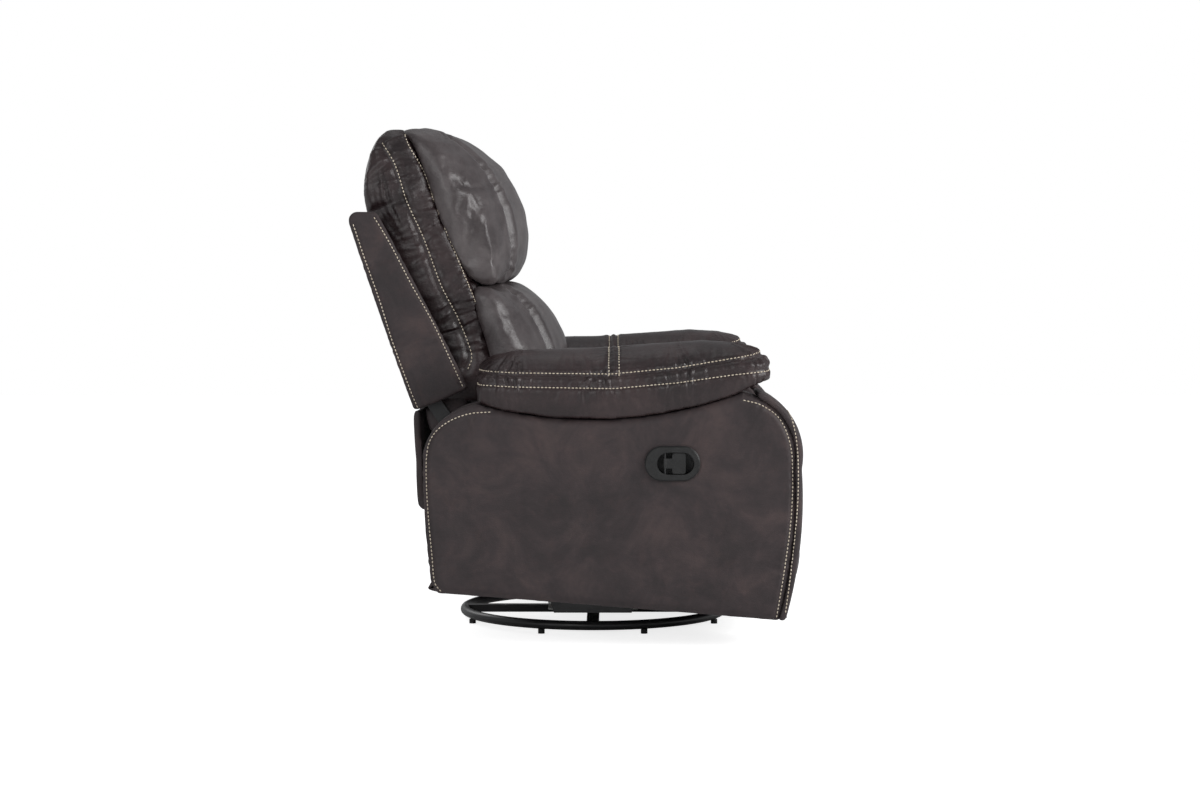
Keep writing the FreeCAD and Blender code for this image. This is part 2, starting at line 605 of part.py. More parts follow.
def arm_pad():
    """Pillow top: full and rounded, drawn in at both ends, its underside on the arm's boards."""
    mid_y = (ARM_IN_Y + ARM_PAD_OUT_Y) / 2
    stations = [  # x, crest height, share of full width, underside drop
        (ARM_PAD_REAR_X, 540.0, 0.66), (-188.0, 556.0, 0.84), (-168.0, 570.0, 0.94), (-125.0, 580.0, 1.0),
        (-40.0, 583.0, 1.0), (70.0, 585.0, 1.0), (160.0, 594.0, 1.0), (240.0, 600.0, 1.0),
        (305.0, 597.0, 0.985), (340.0, 588.0, 0.93), (362.0, 575.0, 0.82), (ARM_PAD_FRONT_X, 557.0, 0.62)]
    wires = []
    for x, crest, share in stations:
        half = (ARM_PAD_OUT_Y - ARM_IN_Y) / 2 * share - SOFT_GAP
        low = rest_z(min(x, ARM_PAD_FRONT_X - 15.0)) + SOFT_GAP
        if x > ARM_TOP_FRONT_X:
            low += (x - ARM_TOP_FRONT_X) * 0.15
        seam = low + (crest - low) * 0.62
        start = (mid_y - half * 0.92, low)
        steps = [
            (mid_y + half * 0.92, low),
            ((mid_y + half, (low + seam) / 2), (mid_y + half * 0.93, seam)),
            ((mid_y, crest), (mid_y - half * 0.93, seam)),
            ((mid_y - half, (low + seam) / 2), start),
        ]
        wires.append(Part.Wire(path_edges(start, steps, lambda a, b, x=x: V(x, a, b))))
    return Part.makeLoft(wires, True, True)


def oval(width, height, y0, y1, x, z):
    """A flat-sided oval block, square to the arm's face."""
    r = height / 2
    h = width / 2 - r
    start = (x - h, z - r)
    steps = [
        (x + h, z - r),
        ((x + h + r, z), (x + h, z + r)),
        (x - h, z + r),
        ((x - h - r, z), start),
    ]
    return closed_plate(start, steps, y0, y1)


def build_arms():
    arm = build_arm()
    face = -ARM_OUT_Y
    cup_x = HANDLE_X + CUP_SHIFT
    clear = 2 * SOFT_GAP
    cup_cut = oval(CUP_W + clear, CUP_H + clear, face - 1, face + OUTER_PANEL_T + 1, cup_x, HANDLE_Z)
    for side in ("left", "right"):
        for piece, shape in arm.items():
            solid = shape if side == "left" else mirrored(shape)
            if side == "right" and piece == "panel_outer":
                solid = solid.cut(cup_cut)
            save(solid, "arm_" + piece + "_" + side)
    flange = oval(ESCUTCHEON_W, ESCUTCHEON_H, face - ESCUTCHEON_T, face, HANDLE_X, HANDLE_Z)
    edge = [e for e in flange.Edges if all(abs(v.Y - (face - ESCUTCHEON_T)) < 1e-6 for v in e.Vertexes)]
    flange = flange.makeChamfer(2.6, edge)
    cup = oval(CUP_W, CUP_H, face, face - ESCUTCHEON_T + CUP_DEPTH, cup_x, HANDLE_Z)
    well = oval(CUP_W - 2 * CUP_WALL, CUP_H - 2 * CUP_WALL, face - ESCUTCHEON_T - 1,
                face - ESCUTCHEON_T + CUP_DEPTH - CUP_WALL, cup_x, HANDLE_Z)
    hinge_x = cup_x - CUP_W / 2 + CUP_H / 2 - 6.0
    hinge_y = face - 1.0
    shaft = rod_z(hinge_x, hinge_y, HANDLE_Z - CUP_H / 2 + 0.5, HANDLE_Z + CUP_H / 2 - 0.5, HANDLE_PIN_D)
    escutcheon = flange.fuse(cup).removeSplitter().cut(well)
    barrel = rod_y(cup_x - 10.0, HANDLE_Z, face - ESCUTCHEON_T + CUP_DEPTH,
                   face - ESCUTCHEON_T + CUP_DEPTH + 14.0, 10.0)
    escutcheon = escutcheon.fuse(barrel).removeSplitter().cut(shaft)
    save(escutcheon, "handle_escutcheon")
    save(shaft, "handle_hinge_pin")
    bore = rod_z(hinge_x, hinge_y, HANDLE_Z - CUP_H, HANDLE_Z + CUP_H, HANDLE_PIN_D + 2 * PIN_FIT)
    reach = hinge_x + PADDLE_W
    half_h = CUP_H / 2 - CUP_WALL - 1.5
    knuckle = rod_z(hinge_x, hinge_y, HANDLE_Z - 9.5, HANDLE_Z + 9.5, HANDLE_PIN_D + 4.0)
    stem = box(hinge_x, hinge_x + 16.0, hinge_y - PADDLE_T / 2, hinge_y + PADDLE_T / 2, HANDLE_Z - 9.5, HANDLE_Z + 9.5)
    blade = box(hinge_x + 14.0, reach, hinge_y - PADDLE_T / 2, hinge_y + PADDLE_T / 2,
                HANDLE_Z - half_h, HANDLE_Z + half_h)
    ends = [e for e in blade.Edges if abs(e.Vertexes[0].Z - e.Vertexes[1].Z) < 1e-6
            and abs(e.Vertexes[0].X - e.Vertexes[1].X) < 1e-6]
    blade = blade.makeFillet(5.0, ends)
    save(knuckle.fuse([stem, blade]).removeSplitter().cut(bore), "handle_paddle")


def build_seat():
    z0, z1 = SEAT_FRAME_Z, SEAT_FRAME_Z + SEAT_RAIL_H
    half = MECH_Y - PIN_END - SOFT_GAP
    xr, xf = SEAT_REAR_X + 10, SEAT_FRONT_X - 18
    t = SEAT_RAIL_T
    frame = box(xr, xf, -half, half, z0, z1).cut(box(xr + t, xf - t, -half + t, half - t, z0 - 1, z1 + 1))
    save(frame, "seat_frame")
    springs = []
    span = 2 * (half - t) - 60.0
    for i in range(SPRING_COUNT):
        y = -span / 2 + span * i / (SPRING_COUNT - 1)
        springs.append(sinuous(xr + t / 2, xf - t / 2, y, z1))
    save(group(springs), "seat_springs")
    save(seat_cushion(z1 + SPRING_WIRE_D + SOFT_GAP), "seat_cushion")


def sinuous(x0, x1, y, z):
    """A zigzag spring laid from the rear rail to the front rail."""
    step = (x1 - x0) / (SPRING_BENDS + 1)
    spots = [(x0, y)]
    for k in range(SPRING_BENDS):
        spots.append((x0 + step * (k + 1), y + (SPRING_SWING if k % 2 else -SPRING_SWING)))
    spots.append((x1, y))
    near = [V(a, b - SPRING_WIRE_D * 0.7, z) for a, b in spots]
    far = [V(a, b + SPRING_WIRE_D * 0.7, z) for a, b in reversed(spots)]
    return Part.Face(Part.makePolygon(near + far + near[:1])).extrude(V(0, 0, SPRING_WIRE_D))


def seat_cushion(bottom):
    """Crowned seat: narrow between the side plates, wide over them, low where the back sits."""
    shoulder = LIFT_PIVOT[1] + LINK_W / 2 + 8.0
    stations = [  # x, crown height, edge height, share of the wide top
        (SEAT_STEP_X, SEAT_TOP_Z - 44, 446.0, 0.95), (SEAT_STEP_X + 14, SEAT_TOP_Z - 18, 464.0, 0.985),
        (10.0, SEAT_TOP_Z - 6, 472.0, 1.0), (110.0, SEAT_TOP_Z - 1, 476.0, 1.0), (210.0, SEAT_TOP_Z, 476.0, 1.0),
        (285.0, SEAT_TOP_Z - 4, 473.0, 1.0), (330.0, SEAT_TOP_Z - 14, 464.0, 0.985),
        (354.0, SEAT_TOP_Z - 34, 448.0, 0.96), (SEAT_FRONT_X, SEAT_TOP_Z - 66, 424.0, 0.92)]
    wires = []
    for x, crown, edge, share in stations:
        w0 = SEAT_HALF_W
        w1 = SEAT_WIDE * share
        start = (-w0, bottom)
        steps = [
            (w0, bottom),
            (w0, shoulder),
            ((w1, (shoulder + edge) / 2), (w1 - 6, edge)),
            ((0.0, crown), (-w1 + 6, edge)),
            ((-w1, (shoulder + edge) / 2), (-w0, shoulder)),
            start,
        ]
        wires.append(Part.Wire(path_edges(start, steps, lambda a, b, x=x: V(x, a, b))))
    front = Part.makeLoft(wires, True, True)
    rx, rz = RECLINE_PIVOT
    rear = SEAT_REAR_X

    def on_arc(x):
        return (x, rz + math.sqrt(TONGUE_R ** 2 - (x - rx) ** 2))

    start = (rear, bottom)
    steps = [
        (SEAT_STEP_X + 2, bottom),
        on_arc(SEAT_STEP_X + 2),
        (on_arc(rx), on_arc(rear)),
        start,
    ]
    tongue = closed_plate(start, steps, -SEAT_HALF_W, SEAT_HALF_W)
    return front.fuse(tongue).removeSplitter()


def across_section(x_rear, x_front, half, crown, z, tuck=8.0):
    """A level section through a back pad: crowned front, bowed sides, flat rear."""
    edge = x_front - crown
    start = (x_rear, -half + tuck)
    steps = [
        (((x_rear + edge) / 2, -half), (edge, -half + tuck)),
        ((x_front, 0.0), (edge, half - tuck)),
        (((x_rear + edge) / 2, half), (x_rear, half - tuck)),
        start,
    ]
    return Part.Wire(path_edges(start, steps, lambda a, b: V(a, b, z)))


def stacked_pad(stations):
    return Part.makeLoft([across_section(*s) for s in stations], True, True)


def build_back():
    rx, rz = RECLINE_PIVOT
    # Rear edge of the back, an arc from its foot to its head
    foot, waist, head = BACK_FOOT, (-404.0, 674.0), (-457.0, 834.0)
    wing = closed_plate(foot, [
        (waist, head),
        ((-449.0, 850.0), (-436.0, 852.0)),
        (-414.0, 852.0),
        ((-403.0, 850.0), (-397.0, 842.0)),
        ((-315.0, 688.0), (-249.0, 560.0)),
        (-222.0, 503.0),
        ((-276.0, 477.0), foot)], WING_IN_Y, WING_IN_Y + WING_T)
    save(wing, "back_wing_left")
    save(mirrored(wing), "back_wing_right")
    t = BACK_PANEL_T
    panel = closed_plate(foot, [
        (waist, head),
        (head[0] + t, head[1] + 2),
        ((waist[0] + t, waist[1] + 2), (foot[0] + t, foot[1] + 2)),
        foot], -WING_IN_Y + SOFT_GAP, WING_IN_Y - SOFT_GAP)
    save(panel, "back_outer_panel")
    # Frame: two posts parallel to the rear edge, joined by three rails
    lean = math.atan2(head[0] - foot[0], head[1] - foot[1])

    def at(up, forward):
        """A place up the back from its foot and forward of its rear face."""
        return (foot[0] + t + 6 + up * math.sin(lean) + forward * math.cos(lean),
                foot[1] + up * math.cos(lean) - forward * math.sin(lean))

    length = math.hypot(head[0] - foot[0], head[1] - foot[1])
    d = BACK_POST_D
    post_out = WING_IN_Y - SOFT_GAP
    post_in = post_out - BACK_POST_W
    post = closed_plate(at(14, 4), [at(length - 8, 4), at(length - 8, d), at(14, d), at(14, 4)], post_in, post_out)
    rails = []
    for up in (142.0, 240.0, length - 34.0):
        rails.append(closed_plate(at(up - 14, 8), [at(up + 14, 8), at(up + 14, d - 4), at(up - 14, d - 4), at(up - 14, 8)],
                                  -post_in, post_in))
    frame = post.fuse([mirrored(post)] + rails).removeSplitter()
    save(frame, "back_frame")
    # Recline bracket: from its pivot up to the inner face of the post
    y0 = RECLINE_BRACKET_Y
    y1 = y0 + CRADLE_T
    low_in, low_out = at(20, d + 2), at(20, 6)
    high_in, high_out = at(120, d - 2), at(120, 8)
    start = (rx + 18.0, rz + 12.0)
    bracket = closed_plate(start, [
        low_in,
        high_in,
        high_out,
        low_out,
        (rx - 20.0, rz + 4.0),
        ((rx - 1.0, rz - 21.0), start)], y0, y1 - (y1 - post_in if y1 > post_in else 0.0))
    bracket = drilled(bracket, [RECLINE_PIVOT], y0, y1, RECLINE_PIN_D + 2 * PIN_FIT)
    save(both_sides(bracket), "recline_brackets")
    build_back_pads(at, d)
    build_skirt()


def build_back_pads(at, depth):
    def rear_x(z):
        """The frame's front face at height z."""
        a, b = at(0, depth + SOFT_GAP), at(400, depth + SOFT_GAP)
        return a[0] + (b[0] - a[0]) * (z - a[1]) / (b[1] - a[1])

    w = CORE_HALF_W
    p = PILLOW_HALF_W
    core_front = [  # height, front face of the back cushion
        (462.0, -158.0), (520.0, -158.0), (600.0, -180.0), (690.0, -206.0), (770.0, -238.0), (850.0, -272.0),
        (900.0, -290.0), (940.0, -305.0), (978.0, -321.0), (1002.0, -333.0), (1020.0, -350.0)]
    rears = [rear_x(462.0) + 8, rear_x(520.0), rear_x(600.0), rear_x(690.0), rear_x(770.0), rear_x(850.0),
             -425.0, -424.0, -414.0, -402.0, -382.0]
    halves = [p, p, p + 2, w, w, w, w, w - 3, w - 10, w - 20, w - 42]
    crowns = [6.0, 6.0, 6.0, 6.0, 6.0, 6.0, 6.0, 6.0, 6.0, 5.0, 3.0]
    save(stacked_pad([(r, x, h, c, z) for (z, x), r, h, c in zip(core_front, rears, halves, crowns)]),
         "back_cushion")

    def front_of_core(z):
        """Where a pillow's rear may stand at height z."""
        for (z0, x0), (z1, x1) in zip(core_front, core_front[1:]):
            if z <= z1:
                break
        return x0 + (x1 - x0) * (z - z0) / (z1 - z0) + 2 * SOFT_GAP

    def pillow(stations, name):
        save(stacked_pad([(front_of_core(z) + tuck, x, half, crown, z)
                          for z, x, half, crown, tuck in stations]), name)

    pillow([  # height, front, half width, crown, how far the rear edge is drawn forward
        (713.0, -150.0, p - 14, 8.0, 24.0), (724.0, -134.0, p - 4, 12.0, 12.0), (745.0, -126.0, p, 16.0, 5.0),
        (800.0, -121.0, p + 4, 20.0, 0.0), (850.0, -128.0, p + 4, 20.0, 0.0), (900.0, -148.0, p + 2, 20.0, 0.0),
        (940.0, -173.0, p - 2, 20.0, 0.0), (978.0, -217.0, p - 10, 18.0, 0.0),
        (1002.0, -252.0, p - 18, 15.0, 0.0), (1020.0, -283.0, p - 30, 11.0, 0.0),
        (TOP_Z, -318.0, p - 52, 6.0, 0.0)], "head_pillow")
    pillow([
        (464.0, -62.0, p - 10, 10.0, 4.0), (480.0, -46.0, p - 2, 12.0, 0.0), (520.0, -39.0, p, 14.0, 0.0),
        (560.0, -40.0, p, 16.0, 0.0), (600.0, -48.0, p, 18.0, 0.0), (645.0, -72.0, p, 20.0, 0.0),
        (690.0, -107.0, p - 3, 17.0, 4.0), (707.0, -146.0, p - 16, 8.0, 18.0)], "lumbar_pillow")


def build_skirt():
    """A loose padded flap under the back, rolled forward at its lower edge."""
    hx, hz = SKIRT_HINGE
    r = SKIRT_T / 2
    low = hz - SKIRT_L
    start = (hx - r, hz)
    flap = closed_plate(start, [
        ((hx - r + 3.0, hz - SKIRT_L * 0.55), (hx - r + 8.0, low)),
        ((hx + 8.0, low - 18.0), (hx + r + 21.0, low - 16.0)),
        ((hx + r + 15.0, low - 2.0), (hx + r + 8.0, low + 12.0)),
        ((hx + r + 3.0, hz - SKIRT_L * 0.5), (hx + r, hz)),
        ((hx, hz + r), start)], -SKIRT_HALF_W, SKIRT_HALF_W)
    save(flap, "lower_back_skirt")


def main():
    os.makedirs(PARTS, exist_ok=True)
    build_base()
    build_glider()
    build_carriage()
    build_footrest_links()
    build_footrest_pads()
    build_arms()
    build_seat()
    build_back()


main()
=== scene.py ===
"""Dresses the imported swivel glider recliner: upholstery, stitching, metalwork, studio and camera."""
from __future__ import annotations

import json
import logging
import math
from dataclasses import dataclass
from enum import Enum
from typing import Iterable, Sequence

import bmesh
import bpy
import numpy as np
from mathutils import Matrix, Vector, noise
from mathutils.bvhtree import BVHTree


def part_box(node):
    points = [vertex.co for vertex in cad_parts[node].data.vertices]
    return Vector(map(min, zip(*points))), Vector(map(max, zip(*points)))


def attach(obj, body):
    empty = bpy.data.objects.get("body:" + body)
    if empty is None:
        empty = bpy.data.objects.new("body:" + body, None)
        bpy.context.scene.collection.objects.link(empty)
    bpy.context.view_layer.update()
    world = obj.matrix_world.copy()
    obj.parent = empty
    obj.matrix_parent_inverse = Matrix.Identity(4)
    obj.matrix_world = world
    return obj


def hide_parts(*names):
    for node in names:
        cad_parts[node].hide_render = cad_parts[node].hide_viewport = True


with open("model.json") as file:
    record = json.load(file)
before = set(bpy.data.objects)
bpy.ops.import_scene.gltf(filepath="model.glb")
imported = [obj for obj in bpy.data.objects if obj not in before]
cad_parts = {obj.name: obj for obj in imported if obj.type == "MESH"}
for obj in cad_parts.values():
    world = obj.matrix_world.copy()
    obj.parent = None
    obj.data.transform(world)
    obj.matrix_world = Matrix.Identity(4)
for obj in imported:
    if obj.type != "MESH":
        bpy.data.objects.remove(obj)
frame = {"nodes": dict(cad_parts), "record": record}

LOG = logging.getLogger("recliner")
MM = 0.001
THREAD_PROUD = 0.0004
PANEL_THREAD_PROUD = 0.0003
DOWN = (0.0, 0.0, -1.0)
BACKWARD = (-1.0, 0.0, 0.0)
Point2 = tuple[float, float]
Point3 = tuple[float, float, float]


class Side(Enum):
    """Left and right of the chair, with the sign of Y on that side."""

    LEFT = 1
    RIGHT = -1

    @property
    def word(self) -> str:
        """The side's name as the CAD nodes have it."""
        return self.name.lower()


class Slot(Enum):
    """Record slots of the pieces that are made here."""

    PAD = "pad_leather"
    SIDE = "side_leather"
    STEEL = "black_steel"


# ---- Finishes


class NodeSheet:
    """A material's node tree, written in short lines."""

    def __init__(self, name: str) -> None:
        """Start an empty material.

        Args:
            name: the material's name.
        """
        self.material = bpy.data.materials.new(name)
        self.material.use_nodes = True
        self.tree = self.material.node_tree
        self.tree.nodes.clear()
        self.out = self.tree.nodes.new("ShaderNodeOutputMaterial")
        self.shader = self.tree.nodes.new("ShaderNodeBsdfPrincipled")
        self.join(self.shader.outputs["BSDF"], self.out.inputs["Surface"])
        self.coords = self.tree.nodes.new("ShaderNodeTexCoord")

    def join(self, source: bpy.types.NodeSocket, target: bpy.types.NodeSocket) -> None:
        """Link two sockets."""
        self.tree.links.new(source, target)

    def placed(self, scale: Point3 = (1.0, 1.0, 1.0), turn: Point3 = (0.0, 0.0, 0.0)) -> bpy.types.NodeSocket:
        """Object coordinates, scaled and turned.

        Args:
            scale: scale along each axis.
            turn: turn about each axis in radians.

        Returns:
            The mapped vector's socket.
        """
        node = self.tree.nodes.new("ShaderNodeMapping")
        node.inputs["Scale"].default_value = scale
        node.inputs["Rotation"].default_value = turn
        self.join(self.coords.outputs["Object"], node.inputs["Vector"])
        return node.outputs["Vector"]

    def noise(self, scale: float, detail: float, rough: float, vector: bpy.types.NodeSocket,
              distortion: float = 0.0) -> bpy.types.NodeSocket:
        """A noise texture.

        Args:
            scale: features in each metre.
            detail: octaves.
            rough: share of the fine octaves.
            vector: where it is read.
            distortion: how far it is bent by itself.

        Returns:
            The factor's socket.
        """
        node = self.tree.nodes.new("ShaderNodeTexNoise")
        node.inputs["Scale"].default_value = scale
        node.inputs["Detail"].default_value = detail
        node.inputs["Roughness"].default_value = rough
        node.inputs["Distortion"].default_value = distortion
        self.join(vector, node.inputs["Vector"])
        return node.outputs["Fac"]

    def cells(self, scale: float, vector: bpy.types.NodeSocket) -> bpy.types.NodeSocket:
        """A cell texture's distance to the nearest point.

        Args:
            scale: cells in each metre.
            vector: where it is read.

        Returns:
            The distance's socket.
        """
        node = self.tree.nodes.new("ShaderNodeTexVoronoi")
        node.inputs["Scale"].default_value = scale
        self.join(vector, node.inputs["Vector"])
        return node.outputs["Distance"]

    def ramp(self, factor: bpy.types.NodeSocket,
             stops: Sequence[tuple[float, Sequence[float]]]) -> bpy.types.NodeSocket:
        """A colour ramp.

        Args:
            factor: where the ramp is read.
            stops: place and colour of each stop.

        Returns:
            The colour's socket.
        """
        node = self.tree.nodes.new("ShaderNodeValToRGB")
        ends = node.color_ramp.elements
        while len(ends) < len(stops):
            ends.new(0.5)
        for end, (place, colour) in zip(ends, stops):
            end.position = place
            end.color = (*colour, 1.0)
        self.join(factor, node.inputs["Fac"])
        return node.outputs["Color"]

    def spread(self, factor: bpy.types.NodeSocket, low: float, high: float, start: float = 0.3,
               stop: float = 0.7) -> bpy.types.NodeSocket:
        """Map a factor from one range to another.

        Args:
            factor: the value to map.
            low: result at start.
            high: result at stop.
            start: lowest value read.
            stop: highest value read.

        Returns:
            The mapped value's socket.
        """
        node = self.tree.nodes.new("ShaderNodeMapRange")
        node.inputs["From Min"].default_value = start
        node.inputs["From Max"].default_value = stop
        node.inputs["To Min"].default_value = low
        node.inputs["To Max"].default_value = high
        self.join(factor, node.inputs["Value"])
        return node.outputs["Result"]

    def blend(self, factor: bpy.types.NodeSocket | float, first: bpy.types.NodeSocket,
              second: bpy.types.NodeSocket, mode: str = "MIX") -> bpy.types.NodeSocket:
        """Mix two colours.

        Args:
            factor: share of the second.
            first: first colour.
            second: second colour.
            mode: blend mode.

        Returns:
            The colour's socket.
        """
        node = self.tree.nodes.new("ShaderNodeMix")
        node.data_type = "RGBA"
        node.blend_type = mode
        if isinstance(factor, float):
            node.inputs[0].default_value = factor
        else:
            self.join(factor, node.inputs[0])
        self.join(first, node.inputs[6])
        self.join(second, node.inputs[7])
        return node.outputs[2]

    def bump(self, height: bpy.types.NodeSocket, depth: float, strength: float,
             under: bpy.types.NodeSocket | None = None) -> bpy.types.NodeSocket:
        """A bump, over an earlier one where given.

        Args:
            height: the height's socket.
            depth: real depth in metres.
            strength: share of it that shows.
            under: normal from an earlier bump.

        Returns:
            The normal's socket.
        """
        node = self.tree.nodes.new("ShaderNodeBump")
        node.inputs["Distance"].default_value = depth
        node.inputs["Strength"].default_value = strength
        self.join(height, node.inputs["Height"])
        if under is not None:
            self.join(under, node.inputs["Normal"])
        return node.outputs["Normal"]

    def set(self, socket: str, value: float | Sequence[float]) -> None:
        """Set a constant on the shader's own socket."""
        self.shader.inputs[socket].default_value = value

    def feed(self, socket: str, source: bpy.types.NodeSocket) -> None:
        """Link a source to one of the shader's sockets."""
        self.join(source, self.shader.inputs[socket])


@dataclass(frozen=True)
class LeatherFinish:
    """Upholstery with cloudy colour, fine pebble grain and soft creases."""

    name: str
    dark: Point3
    middle: Point3
    light: Point3
    cloud: float
    grain: float
    grain_depth: float
    crease: float
    gloss_low: float
    gloss_high: float
    sheen: float = 0.0
    coat: float = 0.0

    def build(self) -> bpy.types.Material:
        """Make the material."""
        s = NodeSheet(self.name)
        here = s.placed()
        clouds = s.noise(self.cloud, 5.0, 0.62, here, 0.7)
        patches = s.noise(self.cloud * 4.3, 6.0, 0.7, here, 0.3)
        base = s.ramp(clouds, [(0.38, self.dark), (0.51, self.middle), (0.66, self.light)])
        fleck = s.ramp(patches, [(0.37, self.dark), (0.53, self.middle), (0.70, self.light)])
        colour = s.blend(0.4, base, fleck)
        pores = s.cells(self.grain, here)
        pore_tint = s.ramp(pores, [(0.0, (0.72, 0.72, 0.72)), (0.45, (1.0, 1.0, 1.0))])
        s.feed("Base Color", s.blend(0.55, colour, pore_tint, "MULTIPLY"))
        s.feed("Roughness", s.spread(patches, self.gloss_low, self.gloss_high))
        pebble = s.bump(pores, self.grain_depth, 0.55)
        fold = s.noise(38.0, 4.0, 0.6, s.placed((1.0, 1.0, 2.4), (0.2, 0.5, 0.1)), 1.6)
        s.feed("Normal", s.bump(fold, self.crease, 0.5, pebble))
        if self.sheen:
            s.set("Sheen Weight", self.sheen)
            s.set("Sheen Roughness", 0.5)
        if self.coat:
            s.set("Coat Weight", self.coat)
            s.set("Coat Roughness", 0.32)
        return s.material


@dataclass(frozen=True)
class CoatedSteelFinish:
    """Powder coat over steel, with a faint orange peel and rubbed spots."""

    name: str
    colour: Point3
    rubbed: Point3
    gloss: float

    def build(self) -> bpy.types.Material:
        """Make the material."""
        s = NodeSheet(self.name)
        here = s.placed()
        wear = s.noise(55.0, 6.0, 0.75, here, 0.4)
        s.feed("Base Color", s.ramp(wear, [(0.62, self.colour), (0.8, self.rubbed)]))
        s.feed("Roughness", s.spread(s.noise(20.0, 3.0, 0.5, here), self.gloss - 0.08, self.gloss + 0.1))
        s.feed("Normal", s.bump(s.noise(900.0, 2.0, 0.5, here), 0.0002, 0.35))
        s.set("Metallic", 0.0)
        s.set("Coat Weight", 0.25)
        s.set("Coat Roughness", 0.25)
        return s.material


@dataclass(frozen=True)
class PlatedSteelFinish:
    """Zinc-plated steel, rolled along one axis."""

    name: str
    colour: Point3
    stain: Point3

    def build(self) -> bpy.types.Material:
        """Make the material."""
        s = NodeSheet(self.name)
        streaks = s.noise(40.0, 5.0, 0.6, s.placed((1.0, 1.0, 22.0)))
        stains = s.noise(18.0, 4.0, 0.6, s.placed())
        s.feed("Base Color", s.ramp(stains, [(0.35, self.stain), (0.6, self.colour)]))
        s.feed("Roughness", s.spread(streaks, 0.28, 0.48))
        s.feed("Normal", s.bump(streaks, 0.0002, 0.25))
        s.set("Metallic", 1.0)
        return s.material


@dataclass(frozen=True)
class MouldedFinish:
    """Moulded plastic with a spark-eroded grain."""

    name: str
    colour: Point3
    pale: Point3
    gloss: float

    def build(self) -> bpy.types.Material:
        """Make the material."""
        s = NodeSheet(self.name)
        here = s.placed()
        s.feed("Base Color", s.ramp(s.noise(60.0, 4.0, 0.6, here), [(0.4, self.colour), (0.75, self.pale)]))
        s.feed("Roughness", s.spread(s.noise(35.0, 3.0, 0.5, here), self.gloss - 0.05, self.gloss + 0.08))
        s.feed("Normal", s.bump(s.cells(2600.0, here), 0.0002, 0.4))
        return s.material


@dataclass(frozen=True)
class PlyFinish:
    """Plywood: face grain along the board and darker glue lines."""

    name: str
    pale: Point3
    dark: Point3

    def build(self) -> bpy.types.Material:
        """Make the material."""
        s = NodeSheet(self.name)
        rings = s.noise(9.0, 6.0, 0.65, s.placed((1.0, 8.0, 8.0)), 1.2)
        fibres = s.noise(260.0, 3.0, 0.6, s.placed((0.08, 1.0, 1.0)))
        grain = s.ramp(rings, [(0.3, self.dark), (0.6, self.pale)])
        s.feed("Base Color", s.blend(0.35, grain, s.ramp(fibres, [(0.3, self.dark), (0.7, self.pale)])))
        s.feed("Roughness", s.spread(fibres, 0.6, 0.8))
        s.feed("Normal", s.bump(fibres, 0.0003, 0.3))
        return s.material


@dataclass(frozen=True)
class ThreadFinish:
    """Heavy twisted sewing thread."""

    name: str
    pale: Point3
    dark: Point3

    def build(self) -> bpy.types.Material:
        """Make the material."""
        s = NodeSheet(self.name)
        twist = s.noise(1500.0, 2.0, 0.5, s.placed((1.0, 1.0, 3.0), (0.6, 0.6, 0.0)))
        soil = s.noise(22.0, 4.0, 0.6, s.placed())
        tint = s.ramp(soil, [(0.35, self.dark), (0.6, self.pale)])
        s.feed("Base Color", s.blend(0.4, tint, s.ramp(twist, [(0.3, self.dark), (0.7, self.pale)])))
        s.feed("Roughness", s.spread(twist, 0.65, 0.85))
        s.feed("Normal", s.bump(twist, 0.0003, 0.5))
        return s.material


class Finishes:
    """Every finish of the chair, built once."""

    def __init__(self) -> None:
        """Build the materials."""
        self.pad = LeatherFinish("pad_leather", (0.012, 0.0065, 0.0070), (0.024, 0.0128, 0.0136),
                                 (0.050, 0.0300, 0.0300), 7.0, 1100.0, 0.0003, 0.0016, 0.32, 0.46,
                                 coat=0.12).build()
        # The pillows get a lighter copy of the pad leather: its paler colour is a painted highlight for the front
        # lamp's broad gloss on the pillows.
        self.pillow = LeatherFinish("pillow_leather_painted_highlight", (0.038, 0.0285, 0.0295), (0.074, 0.0610, 0.0620),
                                    (0.130, 0.1130, 0.1130), 7.0, 1100.0, 0.0003, 0.0016, 0.32, 0.46,
                                    coat=0.25).build()
        self.side = LeatherFinish("side_leather", (0.018, 0.0118, 0.0128), (0.0345, 0.0232, 0.0246),
                                  (0.068, 0.0440, 0.0425), 8.5, 1500.0, 0.0002, 0.0008, 0.52, 0.70,
                                  sheen=0.05).build()
        self.steel = CoatedSteelFinish("black_powder_coat", (0.012, 0.012, 0.013), (0.035, 0.034, 0.033),
                                       0.36).build()
        self.zinc = PlatedSteelFinish("zinc_plate", (0.60, 0.60, 0.58), (0.42, 0.41, 0.39)).build()
        self.plastic = MouldedFinish("black_moulding", (0.010, 0.010, 0.010), (0.018, 0.018, 0.018), 0.36).build()
        self.nylon = MouldedFinish("natural_nylon", (0.66, 0.65, 0.60), (0.78, 0.77, 0.72), 0.5).build()
        self.ply = PlyFinish("plywood", (0.52, 0.37, 0.22), (0.34, 0.22, 0.12)).build()
        self.thread = ThreadFinish("cream_thread", (0.80, 0.71, 0.57), (0.60, 0.51, 0.39)).build()

    def for_cad_slot(self, slot: str) -> bpy.types.Material:
        """The finish that a CAD node takes from its record slot."""
        return {"black_steel": self.steel, "zinc_steel": self.zinc, "white_nylon": self.nylon,
                "black_plastic": self.plastic, "plywood": self.ply, "pad_leather": self.pad,
                "side_leather": self.side}[slot]


# ---- Mesh helpers


def link_object(name: str, mesh: bpy.types.Mesh) -> bpy.types.Object:
    """Put a mesh in the scene as an object at the origin."""
    thing = bpy.data.objects.new(name, mesh)
    bpy.context.scene.collection.objects.link(thing)
    return thing


